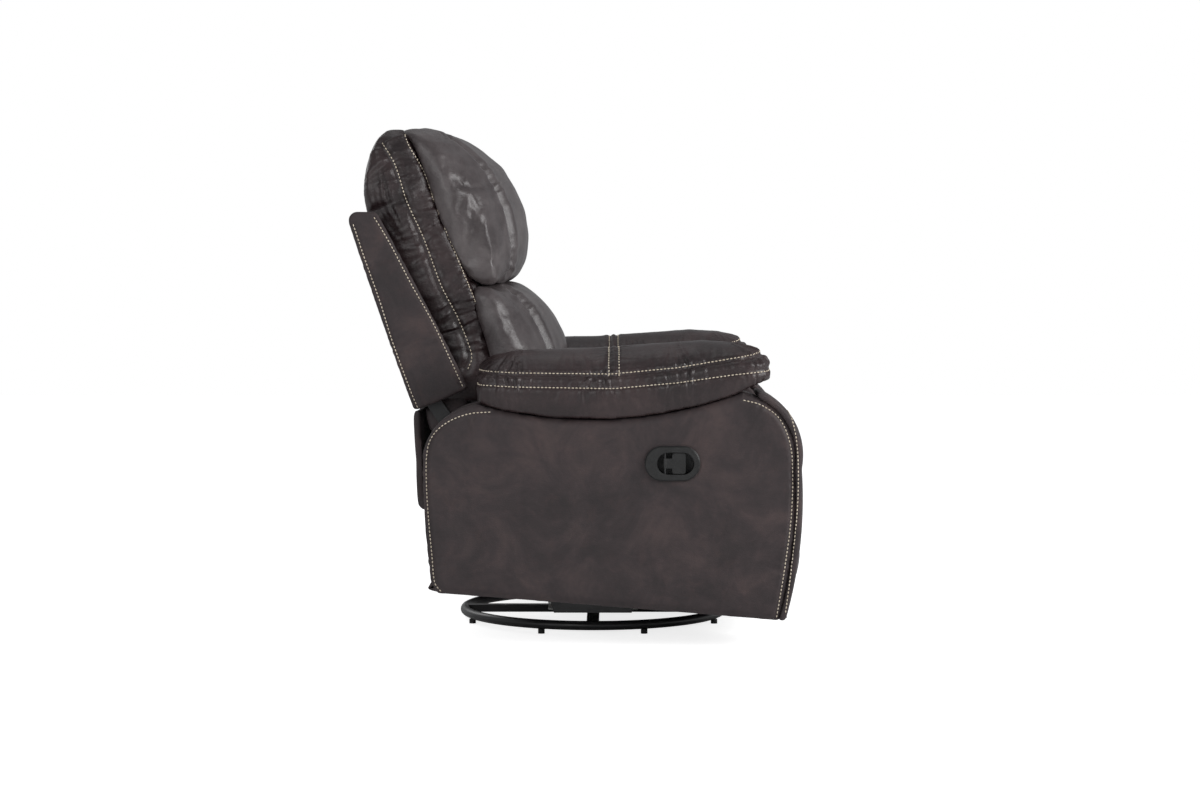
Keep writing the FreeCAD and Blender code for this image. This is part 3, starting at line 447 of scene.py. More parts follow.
def mesh_from(name: str, verts: Sequence[Sequence[float]], faces: Sequence[Sequence[int]]) -> bpy.types.Mesh:
    """A mesh with merged doubles and outward faces.

    Args:
        name: the mesh's name.
        verts: corners in metres.
        faces: corner numbers of each face.

    Returns:
        The mesh.
    """
    mesh = bpy.data.meshes.new(name)
    mesh.from_pydata([tuple(v) for v in verts], [], [tuple(f) for f in faces])
    tidy_mesh(mesh)
    return mesh


def tidy_mesh(mesh: bpy.types.Mesh) -> None:
    """Merge doubles and turn every face outwards."""
    bm = bmesh.new()
    bm.from_mesh(mesh)
    bmesh.ops.remove_doubles(bm, verts=bm.verts, dist=1e-5)
    bmesh.ops.recalc_face_normals(bm, faces=bm.faces)
    bm.to_mesh(mesh)
    bm.free()


def node_copy(node: str, name: str) -> bpy.types.Object:
    """A merged copy of a CAD node's mesh, as a new object."""
    mesh = frame["nodes"][node].data.copy()
    mesh.name = name
    mesh.materials.clear()
    tidy_mesh(mesh)
    return link_object(name, mesh)


def baked(thing: bpy.types.Object) -> None:
    """Apply every modifier of an object to its mesh."""
    bpy.context.view_layer.update()
    graph = bpy.context.evaluated_depsgraph_get()
    mesh = bpy.data.meshes.new_from_object(thing.evaluated_get(graph))
    mesh.name = thing.name
    thing.modifiers.clear()
    thing.data = mesh


def read_points(mesh: bpy.types.Mesh) -> np.ndarray:
    """A mesh's corners as an array."""
    co = np.empty(len(mesh.vertices) * 3, np.float64)
    mesh.vertices.foreach_get("co", co)
    return co.reshape(-1, 3)


def read_normals(mesh: bpy.types.Mesh) -> np.ndarray:
    """A mesh's corner normals as an array."""
    values = np.empty(len(mesh.vertices) * 3, np.float32)
    mesh.vertex_normals.foreach_get("vector", values)
    return values.reshape(-1, 3).astype(np.float64)


def write_points(mesh: bpy.types.Mesh, co: np.ndarray) -> None:
    """Write a mesh's corners."""
    mesh.vertices.foreach_set("co", co.astype(np.float32).ravel())
    mesh.update()


def remeshed(thing: bpy.types.Object, voxel: float, smooth: int) -> None:
    """Rebuild a closed mesh from voxels and relax it.

    Args:
        thing: the object.
        voxel: voxel size in metres.
        smooth: rounds of smoothing.
    """
    step = thing.modifiers.new("voxels", "REMESH")
    step.mode = "VOXEL"
    step.voxel_size = voxel
    if smooth:
        relax = thing.modifiers.new("relax", "SMOOTH")
        relax.factor = 0.5
        relax.iterations = smooth
    baked(thing)


def subdivided(thing: bpy.types.Object, levels: int) -> None:
    """Apply a subdivision surface."""
    step = thing.modifiers.new("finer", "SUBSURF")
    step.levels = levels
    step.render_levels = levels
    baked(thing)


def shaded_smooth(mesh: bpy.types.Mesh) -> None:
    """Shade every face smooth."""
    mesh.polygons.foreach_set("use_smooth", [True] * len(mesh.polygons))


def mirrored_copy(thing: bpy.types.Object, name: str) -> bpy.types.Object:
    """The same piece on the chair's other side."""
    mesh = thing.data.copy()
    mesh.name = name
    mesh.transform(Matrix.Diagonal((1.0, -1.0, 1.0, 1.0)))
    mesh.flip_normals()
    return link_object(name, mesh)


def surface_of(thing: bpy.types.Object) -> BVHTree:
    """A search tree over an object's mesh."""
    graph = bpy.context.evaluated_depsgraph_get()
    return BVHTree.FromObject(thing, graph)


def resampled(points: Sequence[Sequence[float]], step: float) -> np.ndarray:
    """Points at even steps along a smooth path through the given ones.

    Args:
        points: the given points, in metres.
        step: spacing in metres.

    Returns:
        The new points, one row each.
    """
    pts = np.array(points, float)
    if len(pts) > 2:
        ext = np.vstack([2 * pts[0] - pts[1], pts, 2 * pts[-1] - pts[-2]])
        fine = []
        for a, b, c, d in zip(ext, ext[1:], ext[2:], ext[3:]):
            for t in np.linspace(0, 1, 12, endpoint=False):
                fine.append(0.5 * ((2 * b) + (c - a) * t + (2 * a - 5 * b + 4 * c - d) * t * t
                                   + (3 * b - 3 * c + d - a) * t ** 3))
        fine.append(pts[-1])
        pts = np.array(fine)
    seg = np.linalg.norm(np.diff(pts, axis=0), axis=1)
    run = np.concatenate([[0.0], np.cumsum(seg)])
    count = max(2, int(run[-1] / step) + 1)
    at = np.linspace(0.0, run[-1], count)
    return np.stack([np.interp(at, run, pts[:, k]) for k in range(3)], axis=1)


def landed(tree: BVHTree, starts: np.ndarray, ways: np.ndarray, proud: float) -> list[Point3]:
    """Cast rays onto a surface.

    Args:
        tree: the surface.
        starts: where each ray starts.
        ways: direction of each ray.
        proud: how far the result stands off the surface, in metres.

    Returns:
        The places hit.
    """
    hits: list[Point3] = []
    for start, way in zip(starts, ways):
        place, normal, _, _ = tree.ray_cast(Vector(start), Vector(way).normalized())
        if place is not None:
            hits.append(tuple(place + normal * proud))
    return hits


def parallel_rays(starts: Sequence[Point3], way: Point3) -> tuple[np.ndarray, np.ndarray]:
    """Rays that all point one way.

    Args:
        starts: where each ray starts.
        way: their direction.

    Returns:
        Starts and directions.
    """
    return np.array(starts), np.tile(np.array(way), (len(starts), 1))


def side_path(points: Sequence[Point2], side: Side, away: float = 0.75) -> tuple[np.ndarray, np.ndarray]:
    """Rays across the chair from outside, through points of the side view.

    Args:
        points: x and z in millimetres.
        side: the side the rays come from.
        away: distance of the ray starts from the middle.

    Returns:
        Starts and directions.
    """
    path = resampled([(x * MM, 0.0, z * MM) for x, z in points], 0.004)
    starts = path.copy()
    starts[:, 1] = side.value * away
    ways = np.tile(np.array([0.0, -float(side.value), 0.0]), (len(path), 1))
    return starts, ways


class ShapeTree:
    """A geometry node tree with named inputs, and the meshes it makes."""

    def __init__(self, name: str, inputs: dict[str, float]) -> None:
        """Start the tree.

        Args:
            name: the tree's name.
            inputs: name and value of each input.
        """
        self.tree = bpy.data.node_groups.new(name, "GeometryNodeTree")
        self.values: dict[str, float] = {}
        face = self.tree.interface
        face.new_socket("Geometry", in_out="INPUT", socket_type="NodeSocketGeometry")
        for label, value in inputs.items():
            socket = face.new_socket(label, in_out="INPUT", socket_type="NodeSocketFloat")
            socket.default_value = value
            self.values[socket.identifier] = value
        face.new_socket("Geometry", in_out="OUTPUT", socket_type="NodeSocketGeometry")
        self.new, self.join = self.tree.nodes.new, self.tree.links.new
        self.start, self.end = self.new("NodeGroupInput"), self.new("NodeGroupOutput")

    def close(self, shape: bpy.types.NodeSocket, finish: bpy.types.Material) -> None:
        """Realize the shape, give it its material and end the tree."""
        solid, paint = self.new("GeometryNodeRealizeInstances"), self.new("GeometryNodeSetMaterial")
        paint.inputs["Material"].default_value = finish
        self.join(shape, solid.inputs["Geometry"])
        self.join(solid.outputs["Geometry"], paint.inputs["Geometry"])
        self.join(paint.outputs["Geometry"], self.end.inputs["Geometry"])

    def mesh(self, seed: bpy.types.Object, name: str) -> bpy.types.Mesh:
        """Run the tree on an object, and keep only the mesh.

        Args:
            seed: the object it runs on, which is removed.
            name: the mesh's name.

        Returns:
            The mesh.
        """
        step = seed.modifiers.new("tree", "NODES")
        step.node_group = self.tree
        for socket, value in self.values.items():
            step[socket] = value
        bpy.context.view_layer.update()
        graph = bpy.context.evaluated_depsgraph_get()
        mesh = bpy.data.meshes.new_from_object(seed.evaluated_get(graph))
        bpy.data.objects.remove(seed)
        mesh.name = name
        return mesh


# ---- Seams and stitches


@dataclass
class Seam:
    """One sewn line on a soft piece: a groove and puckers beside it."""

    points: np.ndarray
    depth: float = 0.0022
    width: float = 0.005
    pucker: float = 0.0
    reach: float = 0.030
    pitch: float = 0.022
    seed: int = 1

    def press(self, mesh: bpy.types.Mesh) -> None:
        """Press the groove and its puckers into a mesh.

        Args:
            mesh: the soft piece's mesh.
        """
        co = read_points(mesh)
        nor = read_normals(mesh)
        path = resampled(self.points, 0.003)
        far = max(self.reach * 2.4, self.width * 4)
        inside = np.all((co > path.min(0) - far) & (co < path.max(0) + far), axis=1)
        index = np.nonzero(inside)[0]
        if not len(index):
            return
        gap = np.empty(len(index))
        along = np.empty(len(index))
        for k in range(0, len(index), 4000):
            part = co[index[k:k + 4000]]
            d = np.linalg.norm(part[:, None, :] - path[None, :, :], axis=2)
            near = d.argmin(1)
            gap[k:k + 4000] = d[np.arange(len(part)), near]
            along[k:k + 4000] = near * 0.003
        rng = np.random.default_rng(self.seed)
        groove = -self.depth * np.exp(-(gap / self.width) ** 2)
        shoulder = 0.22 * self.depth * np.exp(-((gap - 2.0 * self.width) / self.width) ** 2)
        move = groove + shoulder
        if self.pucker:
            phase = rng.uniform(0, 2 * math.pi, 5)
            s = along + 0.25 * gap * np.sin(along * 60 + phase[4])
            sway = 1.4 * np.sin(2 * math.pi * s / 0.083 + phase[1])
            wave = np.sin(2 * math.pi * s / self.pitch + phase[0] + sway)
            wave += 0.55 * np.sin(2 * math.pi * s / (self.pitch * 0.53) + phase[2])
            patch = 0.55 + 0.45 * np.sin(2 * math.pi * along / 0.171 + phase[3])
            fade = np.exp(-gap / self.reach) * (1 - np.exp(-(gap / self.width) ** 2))
            move += self.pucker * wave * patch * fade
        co[index] += nor[index] * move[:, None]
        write_points(mesh, co)


def sewn_edges(thing: bpy.types.Object, side: Side, edges: Sequence[Sequence[Point2]], depth: float,
               pucker: float, seed: int) -> list[list[Point3]]:
    """Press shallow seams along lines of the side view.

    Args:
        thing: the covered panel.
        side: the side it is on.
        edges: x and z of each line, in millimetres.
        depth: depth of the grooves in metres.
        pucker: height of the puckers.
        seed: seed of the puckers.

    Returns:
        The stitches' path along each line.
    """
    tree = surface_of(thing)
    for edge in edges:
        seam = Seam(np.array(landed(tree, *side_path(edge, side), 0.0)), depth, 0.004, pucker, 0.02, 0.03, seed)
        seam.press(thing.data)
    tree = surface_of(thing)
    return [landed(tree, *side_path(edge, side), PANEL_THREAD_PROUD) for edge in edges]


class StitchRows:
    """Rows of sewing stitches, laid along paths by a node tree, one mesh for each body."""

    LENGTH = 0.0054
    PITCH = 0.0074
    RADIUS = 0.00115

    def __init__(self, finish: bpy.types.Material) -> None:
        """Build the tree.

        Args:
            finish: the thread's material.
        """
        self.tree = self._build(finish)
        self.rows: dict[str, list[list[Point3]]] = {}

    def _build(self, finish: bpy.types.Material) -> ShapeTree:
        """Make the node tree that turns a path into stitches."""
        row = ShapeTree("stitch_row", {"Stitch Pitch": self.PITCH, "Stitch Length": self.LENGTH,
                                       "Thread Radius": self.RADIUS})
        new, join, start = row.new, row.join, row.start
        even = new("GeometryNodeResampleCurve")
        even.mode = "LENGTH"
        join(start.outputs["Geometry"], even.inputs["Curve"])
        join(start.outputs["Stitch Pitch"], even.inputs["Length"])
        ball = new("GeometryNodeMeshUVSphere")
        ball.inputs["Segments"].default_value = 6
        ball.inputs["Rings"].default_value = 5
        ball.inputs["Radius"].default_value = 1.0
        half = new("ShaderNodeMath")
        half.operation = "MULTIPLY"
        half.inputs[1].default_value = 0.5
        join(start.outputs["Stitch Length"], half.inputs[0])
        size = new("ShaderNodeCombineXYZ")
        join(half.outputs[0], size.inputs["X"])
        join(start.outputs["Thread Radius"], size.inputs["Y"])
        join(start.outputs["Thread Radius"], size.inputs["Z"])
        shape = new("GeometryNodeTransform")
        join(ball.outputs["Mesh"], shape.inputs["Geometry"])
        join(size.outputs["Vector"], shape.inputs["Scale"])
        along = new("GeometryNodeInputTangent")
        turn = new("FunctionNodeAlignRotationToVector")
        turn.axis = "X"
        join(along.outputs["Tangent"], turn.inputs["Vector"])
        lay = new("GeometryNodeInstanceOnPoints")
        join(even.outputs["Curve"], lay.inputs["Points"])
        join(shape.outputs["Geometry"], lay.inputs["Instance"])
        join(turn.outputs["Rotation"], lay.inputs["Rotation"])
        row.close(lay.outputs["Instances"], finish)
        return row

    def add(self, body: str, path: Iterable[Sequence[float]]) -> None:
        """Keep a path for a body's stitches."""
        points = [tuple(p) for p in path]
        if len(points) > 2:
            self.rows.setdefault(body, []).append(points)

    def build(self) -> None:
        """Sew every kept path, one piece for each body."""
        for body, paths in self.rows.items():
            curve = bpy.data.curves.new("stitches_" + body, "CURVE")
            curve.dimensions = "3D"
            for points in paths:
                line = curve.splines.new("POLY")
                line.points.add(len(points) - 1)
                line.points.foreach_set("co", [c for p in points for c in (*p, 1.0)])
            thing = bpy.data.objects.new("stitches_" + body, curve)
            bpy.context.scene.collection.objects.link(thing)
            mesh = self.tree.mesh(thing, "stitches_" + body)
            shaded_smooth(mesh)
            sewn = link_object("stitches_" + body, mesh)
            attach(sewn, body)
            LOG.info("%s: %d rows", sewn.name, len(paths))


# ---- Padded pieces


@dataclass
class PadRecipe:
    """How a padded piece is swollen from its CAD solid."""

    voxel: float = 0.006
    drawn_in: float = 0.005
    pressure: float = 4.0
    cap: float = 0.012
    still: Point3 | None = None
    rumple: float = 0.0012
    rumple_size: float = 0.055
    seed: int = 1


class PaddedPiece:
    """A cushion or pad that stands for a CAD solid."""

    def __init__(self, name: str, node: str, recipe: PadRecipe) -> None:
        """Copy the CAD solid and swell it.

        Args:
            name: the piece's name.
            node: the CAD node it stands for.
            recipe: sizes of the swelling.
        """
        self.node = node
        self.recipe = recipe
        self.thing = node_copy(node, name)
        remeshed(self.thing, recipe.voxel, 2)
        co = read_points(self.thing.data)
        self.wall = read_normals(self.thing.data)
        write_points(self.thing.data, co - self.wall * recipe.drawn_in)
        self._swell()
        self._rumple()
        subdivided(self.thing, 1)

    def _swell(self) -> None:
        """Blow the piece up as cloth under pressure, and cap how far it moves."""
        thing, recipe = self.thing, self.recipe
        before = read_points(thing.data)
        cloth = thing.modifiers.new("cloth", "CLOTH")
        cloth.settings.quality = 4
        cloth.settings.mass = 0.3
        cloth.settings.tension_stiffness = 12.0
        cloth.settings.compression_stiffness = 12.0
        cloth.settings.bending_stiffness = 0.6
        cloth.settings.use_pressure = True
        cloth.settings.uniform_pressure_force = recipe.pressure
        cloth.settings.effector_weights.gravity = 0.0
        cloth.collision_settings.use_collision = False
        if recipe.still is not None:
            held = thing.vertex_groups.new(name="held")
            facing = self.wall @ np.array(recipe.still)
            held.add([int(i) for i in np.nonzero(facing > 0.8)[0]], 1.0, "REPLACE")
            cloth.settings.vertex_group_mass = "held"
        cloth.point_cache.frame_start = 1
        cloth.point_cache.frame_end = 20
        scene = bpy.context.scene
        for number in range(1, 21):
            scene.frame_set(number)
        baked(thing)
        after = read_points(thing.data)
        scene.frame_set(1)
        move = after - before
        length = np.linalg.norm(move, axis=1)
        share = np.where(length > recipe.cap, recipe.cap / np.maximum(length, 1e-9), 1.0)
        write_points(thing.data, before + move * share[:, None])

    def _rumple(self) -> None:
        """Lay soft uneven folds over the piece."""
        mesh, recipe = self.thing.data, self.recipe
        co, nor = read_points(mesh), read_normals(mesh)
        shift = Vector((recipe.seed * 3.7, recipe.seed * 1.9, recipe.seed * 5.3))
        size = 1.0 / recipe.rumple_size
        lift = np.array([noise.noise(Vector(p) * size + shift) + 0.5 * noise.noise(Vector(p) * size * 2.3 + shift)
                         for p in co])
        write_points(mesh, co + nor * (lift * recipe.rumple)[:, None])

    def tree(self) -> BVHTree:
        """A search tree over the piece as it is now."""
        bpy.context.view_layer.update()
        return surface_of(self.thing)

    def finish(self, body: str, finish: bpy.types.Material, slot: Slot, fill: float) -> bpy.types.Object:
        """Dress the piece and hang it on its body.

        Args:
            body: the CAD body it rides on.
            finish: its material.
            slot: its record slot; not used.
            fill: how tight it is stuffed; not used.

        Returns:
            The finished object.
        """
        self.thing.vertex_groups.clear()
        return dressed(self.thing, body, finish, [self.node])


def dressed(thing: bpy.types.Object, body: str, finish: bpy.types.Material, nodes: Sequence[str]) -> bpy.types.Object:
    """Finish a covered piece that stands for CAD nodes.

    Args:
        thing: the piece.
        body: the CAD body it rides on.
        finish: its material.
        nodes: CAD nodes it replaces.

    Returns:
        The object.
    """
    thing.data.materials.clear()
    thing.data.materials.append(finish)
    shaded_smooth(thing.data)
    if nodes:
        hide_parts(*nodes)
    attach(thing, body)
    LOG.info("%s: %d faces", thing.name, len(thing.data.polygons))
    return thing


def distance_to_outline(points: np.ndarray, outline: np.ndarray) -> np.ndarray:
    """Distance in the side view from points to a dense outline.

    Args:
        points: x and z of each point.
        outline: x and z along the outline.

    Returns:
        The distances.
    """
    result = np.empty(len(points))
    for k in range(0, len(points), 4000):
        part = points[k:k + 4000]
        result[k:k + 4000] = np.sqrt(((part[:, None, :] - outline[None, :, :]) ** 2).sum(2)).min(1)
    return result


# ---- Arms


@dataclass
class Arms:
    """Both arms: covered panels, front bands, closed wraps and pillow tops."""

    finishes: Finishes
    stitches: StitchRows
    in_y: float = 0.300
    out_y: float = 0.480
    pad_middle_y: float = 0.396
    panel_edge: float = 0.007
    panel_puff: float = 0.0025
    handle_at: Point2 = (0.183, 0.364)
    upper_seam: tuple[Point2, ...] = ((-200, 539), (-120, 535), (65, 533), (190, 545), (329, 568), (380, 578))
    lower_seam: tuple[Point2, ...] = ((-200, 520), (-120, 516), (69, 513), (190, 524), (360, 548), (380, 552))
    cross_seams: tuple[float, ...] = (62.0, 77.0)
    front_edge: tuple[Point2, ...] = ((322, 486), (352, 478), (382, 459), (399, 435), (411, 400), (415.5, 360),
                                      (415.5, 300), (411, 235), (398, 140), (386, 66))
    rear_edge: tuple[Point2, ...] = ((-172, 463), (-205, 461), (-238, 451), (-266, 434), (-285, 411), (-293, 380),
                                     (-294, 330), (-290, 256), (-284, 190), (-279, 134), (-268, 116))
    band_edge: tuple[Point2, ...] = ((392, 487), (409, 462), (421, 420), (426, 370), (426, 300), (422, 232),
                                     (413, 150), (403, 76))

    def build(self) -> None:
        """Make the right arm, then its twin."""
        self._pads()
        self._panels()
        self._bands()
        self._wraps()

    def _pads(self) -> None:
        """Pillow tops, with their two lengthwise seams and the double seam across."""
        pad = PaddedPiece("arm_pillow_right", "arm_pad_right",
                          PadRecipe(voxel=0.006, drawn_in=0.0005, cap=0.010, still=(0.0, 0.0, -1.0), seed=3,
                                    rumple=0.0014, rumple_size=0.07))
        tree = pad.tree()
        upper = self._loop(tree, self.upper_seam)
        lower = self._loop(tree, self.lower_seam)
        crosses = [self._over(tree, x) for x in self.cross_seams]
        for number, (points, pucker) in enumerate(((upper, 0.0032), (lower, 0.0014))):
            Seam(np.array(points), 0.0036, 0.0060, pucker, 0.036, 0.021, seed=4 + number).press(pad.thing.data)
        between = [tuple((np.array(a) + np.array(b)) / 2) for a, b in zip(upper, lower[:len(upper)])]
        if len(upper) == len(lower):
            Seam(np.array(between), 0.0016, 0.0048, 0.0).press(pad.thing.data)
        for number, points in enumerate(crosses):
            Seam(np.array(points), 0.0028, 0.0045, 0.0010, 0.02, 0.018, seed=8 + number).press(pad.thing.data)
        tree = pad.tree()
        upper = self._loop(tree, [(x, z + 4) for x, z in self.upper_seam], THREAD_PROUD)
        lower = self._loop(tree, [(x, z - 4) for x, z in self.lower_seam], THREAD_PROUD)
        crosses = [self._over(tree, x + shift, THREAD_PROUD) for x, shift in zip(self.cross_seams, (-2.5, 2.5))]
        twin = mirrored_copy(pad.thing, "arm_pillow_left")
        for path in (upper, lower, *crosses):
            self.stitches.add("carriage", path)
            self.stitches.add("carriage", [(x, -y, z) for x, y, z in path])
        pad.finish("carriage", self.finishes.pad, Slot.PAD, 0.75)
        dressed(twin, "carriage", self.finishes.pad, ["arm_pad_left"])

    def _loop(self, tree: BVHTree, heights: Sequence[Point2], proud: float = 0.0) -> list[Point3]:
        """A seam round the pad's outer side, nose and inner side.

        Args:
            tree: the pad's surface.
            heights: the seam's height along the arm, in millimetres.
            proud: how far it stands off the surface.

        Returns:
            The seam's points.
        """
        xs, zs = zip(*heights)
        mid = -self.pad_middle_y
        outline: list[tuple[float, float, float, float]] = []
        for x in np.arange(-160.0, 296.0, 4.0):
            outline.append((x * MM, mid - 0.2, 0.0, 1.0))
        for turn in np.linspace(-90.0, 90.0, 60)[1:-1]:
            a = math.radians(turn)
            outline.append((0.296, mid, -math.cos(a), -math.sin(a)))
        for x in np.arange(296.0, -164.0, -4.0):
            outline.append((x * MM, mid + 0.2, 0.0, -1.0))
        for turn in np.linspace(90.0, 270.0, 60)[1:-1]:
            a = math.radians(turn)
            outline.append((-0.164, mid, -math.cos(a), -math.sin(a)))
        points: list[Point3] = []
        for x, y, wx, wy in outline:
            start = Vector((x, y, 0.0))
            if abs(wx) > 1e-9 or y == mid:
                start -= Vector((wx, wy, 0.0)) * 0.3
            near = x if y != mid else x - wx * 0.07
            start.z = float(np.interp(near / MM, xs, zs)) * MM
            place, normal, _, _ = tree.ray_cast(start, Vector((wx, wy, 0.0)).normalized())
            if place is not None:
                points.append(tuple(place + normal * proud))
        return points

    def _over(self, tree: BVHTree, x: float, proud: float = 0.0) -> list[Point3]:
        """A seam over the top of the pad at one place along the arm."""
        points: list[Point3] = []
        axis = Vector((x * MM, -self.pad_middle_y, 0.535))
        for turn in np.linspace(180.0, 0.0, 90):
            a = math.radians(turn)
            way = Vector((0.0, math.cos(a), math.sin(a)))
            place, normal, _, _ = tree.ray_cast(axis + way * 0.3, -way)
            if place is not None:
                points.append(tuple(place + normal * proud))
        return points

    def _outline(self) -> np.ndarray:
        """The outer panel's outline in the side view, read from its CAD node."""
        bm = bmesh.new()
        bm.from_mesh(frame["nodes"]["arm_panel_outer_left"].data)
        bmesh.ops.remove_doubles(bm, verts=bm.verts, dist=1e-5)
        rim: list[Point2] = []
        for edge in bm.edges:
            if len(edge.link_faces) == 2 and edge.calc_face_angle(0.0) > 1.0:
                a, b = edge.verts[0].co, edge.verts[1].co
                if abs(a.y - b.y) < 1e-6:
                    for t in np.linspace(0, 1, max(2, int((a - b).length / 0.003))):
                        p = a.lerp(b, t)
                        rim.append((p.x, p.z))
        bm.free()
        return np.array(rim)

    def _panels(self) -> None:
        """Covered outer panels, rounded at the rim and a little full in the middle, and inner panels."""
        rim = self._outline()
        for side in Side:
            thing = node_copy("arm_panel_outer_" + side.word, "arm_cover_outer_" + side.word)
            remeshed(thing, 0.005, 1)
            co = read_points(thing.data)
            gap = distance_to_outline(co[:, [0, 2]], rim)
            outer = np.clip((np.abs(co[:, 1]) - (self.out_y - 0.012)) / 0.012, 0.0, 1.0)
            drop = self.panel_edge * np.exp(-(gap / 0.008) ** 2)
            puff = self.panel_puff * (1 - np.exp(-gap / 0.05))
            if side is Side.RIGHT:
                reach = np.hypot(co[:, 0] - self.handle_at[0], (co[:, 2] - self.handle_at[1]) * 1.3)
                puff *= np.clip((reach - 0.052) / 0.05, 0.0, 1.0)
            wave = np.array([noise.noise(Vector((p[0] * 7, 3.1, p[2] * 7))) for p in co]) * 0.0016
            if side is Side.RIGHT:
                wave *= np.clip((reach - 0.06) / 0.05, 0.0, 1.0)
            co[:, 1] += side.value * outer * (puff - drop + wave * (1 - np.exp(-gap / 0.04)))
            write_points(thing.data, co)
            subdivided(thing, 1)
            for path in sewn_edges(thing, side, (self.front_edge, self.rear_edge), 0.0018, 0.0008, 21):
                self.stitches.add("carriage", path)
            dressed(thing, "carriage", self.finishes.side, ["arm_panel_outer_" + side.word])
            inner = node_copy("arm_panel_inner_" + side.word, "arm_cover_inner_" + side.word)
            remeshed(inner, 0.006, 2)
            subdivided(inner, 1)
            dressed(inner, "carriage", self.finishes.side, ["arm_panel_inner_" + side.word])

    def _bands(self) -> None:
        """Padded bands round the front of each arm."""
        for side in Side:
            node = "arm_front_band_" + side.word
            thing = node_copy(node, "arm_front_gusset_" + side.word)
            remeshed(thing, 0.0035, 5)
            co, nor = read_points(thing.data), read_normals(thing.data)
            across = np.clip(1 - np.abs((np.abs(co[:, 1]) - 0.39) / 0.09) ** 3, 0.0, 1.0)
            front = np.clip(nor[:, 0], 0.0, 1.0)
            write_points(thing.data, co + nor * (across * front * 0.006 + 0.0006)[:, None])
            tree = surface_of(thing)
            starts, ways = side_path(self.band_edge, side)
            path = landed(tree, starts, ways, THREAD_PROUD)
            self.stitches.add("carriage", path)
            dressed(thing, "carriage", self.finishes.side, [node])

    def _wraps(self) -> None:
        """Cover that closes each arm between its panels, round the boards."""
        outer = self._ring_points(0.0012)
        inner = self._ring_points(0.010)
        for side in Side:
            y0, y1 = self.in_y + 0.0115, self.out_y - 0.0195
            verts: list[Point3] = []
            for ring, y in ((outer, y0), (outer, y1), (inner, y1), (inner, y0)):
                verts += [(x, side.value * y, z) for x, z in ring]
            n = len(outer)
            faces = []
            for r in range(4):
                s = (r + 1) % 4
                faces += [(r * n + k, r * n + (k + 1) % n, s * n + (k + 1) % n, s * n + k) for k in range(n)]
            thing = link_object("arm_wrap_" + side.word, mesh_from("arm_wrap_" + side.word, verts, faces))
            dressed(thing, "carriage", self.finishes.side, ["arm_boards_" + side.word])

    def _ring_points(self, inset: float) -> list[Point2]:
        """The arm's outline drawn in by a distance, in order round the arm."""
        mesh = frame["nodes"]["arm_panel_inner_left"].data
        co = read_points(mesh)
        face = co[np.abs(co[:, 1] - self.in_y) < 1e-4][:, [0, 2]]
        middle = np.array([0.06, 0.27])
        spots = {(round(float(x), 5), round(float(z), 5)) for x, z in face}
        order = sorted(spots, key=lambda p: math.atan2(p[1] - middle[1], p[0] - middle[0]))
        ring = resampled([(x, 0.0, z) for x, z in order + order[:1]], 0.006)[:-1][:, [0, 2]]
        ahead = np.roll(ring, -1, axis=0) - np.roll(ring, 1, axis=0)
        ahead /= np.maximum(np.linalg.norm(ahead, axis=1), 1e-9)[:, None]
        moved = ring + np.stack([-ahead[:, 1], ahead[:, 0]], axis=1) * inset
        return [(float(x), float(z)) for x, z in moved]


# ---- Seat and footrest


@dataclass
class Seat:
    """Seat cushion with two lengthwise seams and a front roll."""

    finishes: Finishes
    stitches: StitchRows
    seam_y: float = 0.178

    def build(self) -> None:
        """Make the cushion."""
        pad = PaddedPiece("seat_pillow", "seat_cushion",
                          PadRecipe(voxel=0.008, drawn_in=0.003, cap=0.010, still=(0.0, 0.0, -1.0), seed=5,
                                    rumple=0.0020, rumple_size=0.09))
        tree = pad.tree()
        lines = []
        for y in (-self.seam_y, self.seam_y):
            lines.append(parallel_rays([(x, y, 0.7) for x in np.arange(-0.03, 0.352, 0.004)], DOWN))
        lines.append(parallel_rays([(0.285, y, 0.7) for y in np.arange(-0.268, 0.269, 0.004)], DOWN))
        for number, (starts, ways) in enumerate(lines):
            Seam(np.array(landed(tree, starts, ways, 0.0)), 0.006, 0.009, 0.0028, 0.04, 0.03,
                 seed=31 + number).press(pad.thing.data)
        tree = pad.tree()
        for number, (starts, ways) in enumerate(lines):
            for shift in (-0.0045, 0.0045):
                moved = starts + (np.array([0.0, shift, 0.0]) if number < 2 else np.array([shift, 0.0, 0.0]))
                self.stitches.add("carriage", landed(tree, moved, ways, THREAD_PROUD))
        pad.finish("carriage", self.finishes.pad, Slot.PAD, 0.7)


@dataclass
class Footrest:
    """Ottoman and mid pads, swollen on their boards."""

    finishes: Finishes
    stitches: StitchRows
    seam_y: float = 0.178

    def build(self) -> None:
        """Make both pads."""
        for name, node, body, seed in (("ottoman_pillow", "ottoman_cushion", "ottoman", 11),
                                       ("mid_pad_pillow", "mid_pad_cushion", "mid_pad", 12)):
            pad = PaddedPiece(name, node, PadRecipe(voxel=0.0065, drawn_in=0.002, cap=0.010,
                                                    still=(-1.0, 0.0, 0.0), seed=seed, rumple=0.0018,
                                                    rumple_size=0.07))
            low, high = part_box(node)
            tree = pad.tree()
            lines = []
            for y in (-self.seam_y, self.seam_y):
                zs = np.arange(low.z + 0.012, high.z - 0.010, 0.004)
                lines.append(parallel_rays([(0.7, y, z) for z in zs], BACKWARD))
            for number, (starts, ways) in enumerate(lines):
                Seam(np.array(landed(tree, starts, ways, 0.0)), 0.007, 0.010, 0.0026, 0.035, 0.026,
                     seed=seed * 3 + number).press(pad.thing.data)
            tree = pad.tree()
            for starts, ways in lines:
                for shift in (-0.0045, 0.0045):
                    self.stitches.add(body, landed(tree, starts + np.array([0.0, shift, 0.0]), ways, THREAD_PROUD))
            pad.finish(body, self.finishes.pad, Slot.PAD, 0.75)


# ---- Back


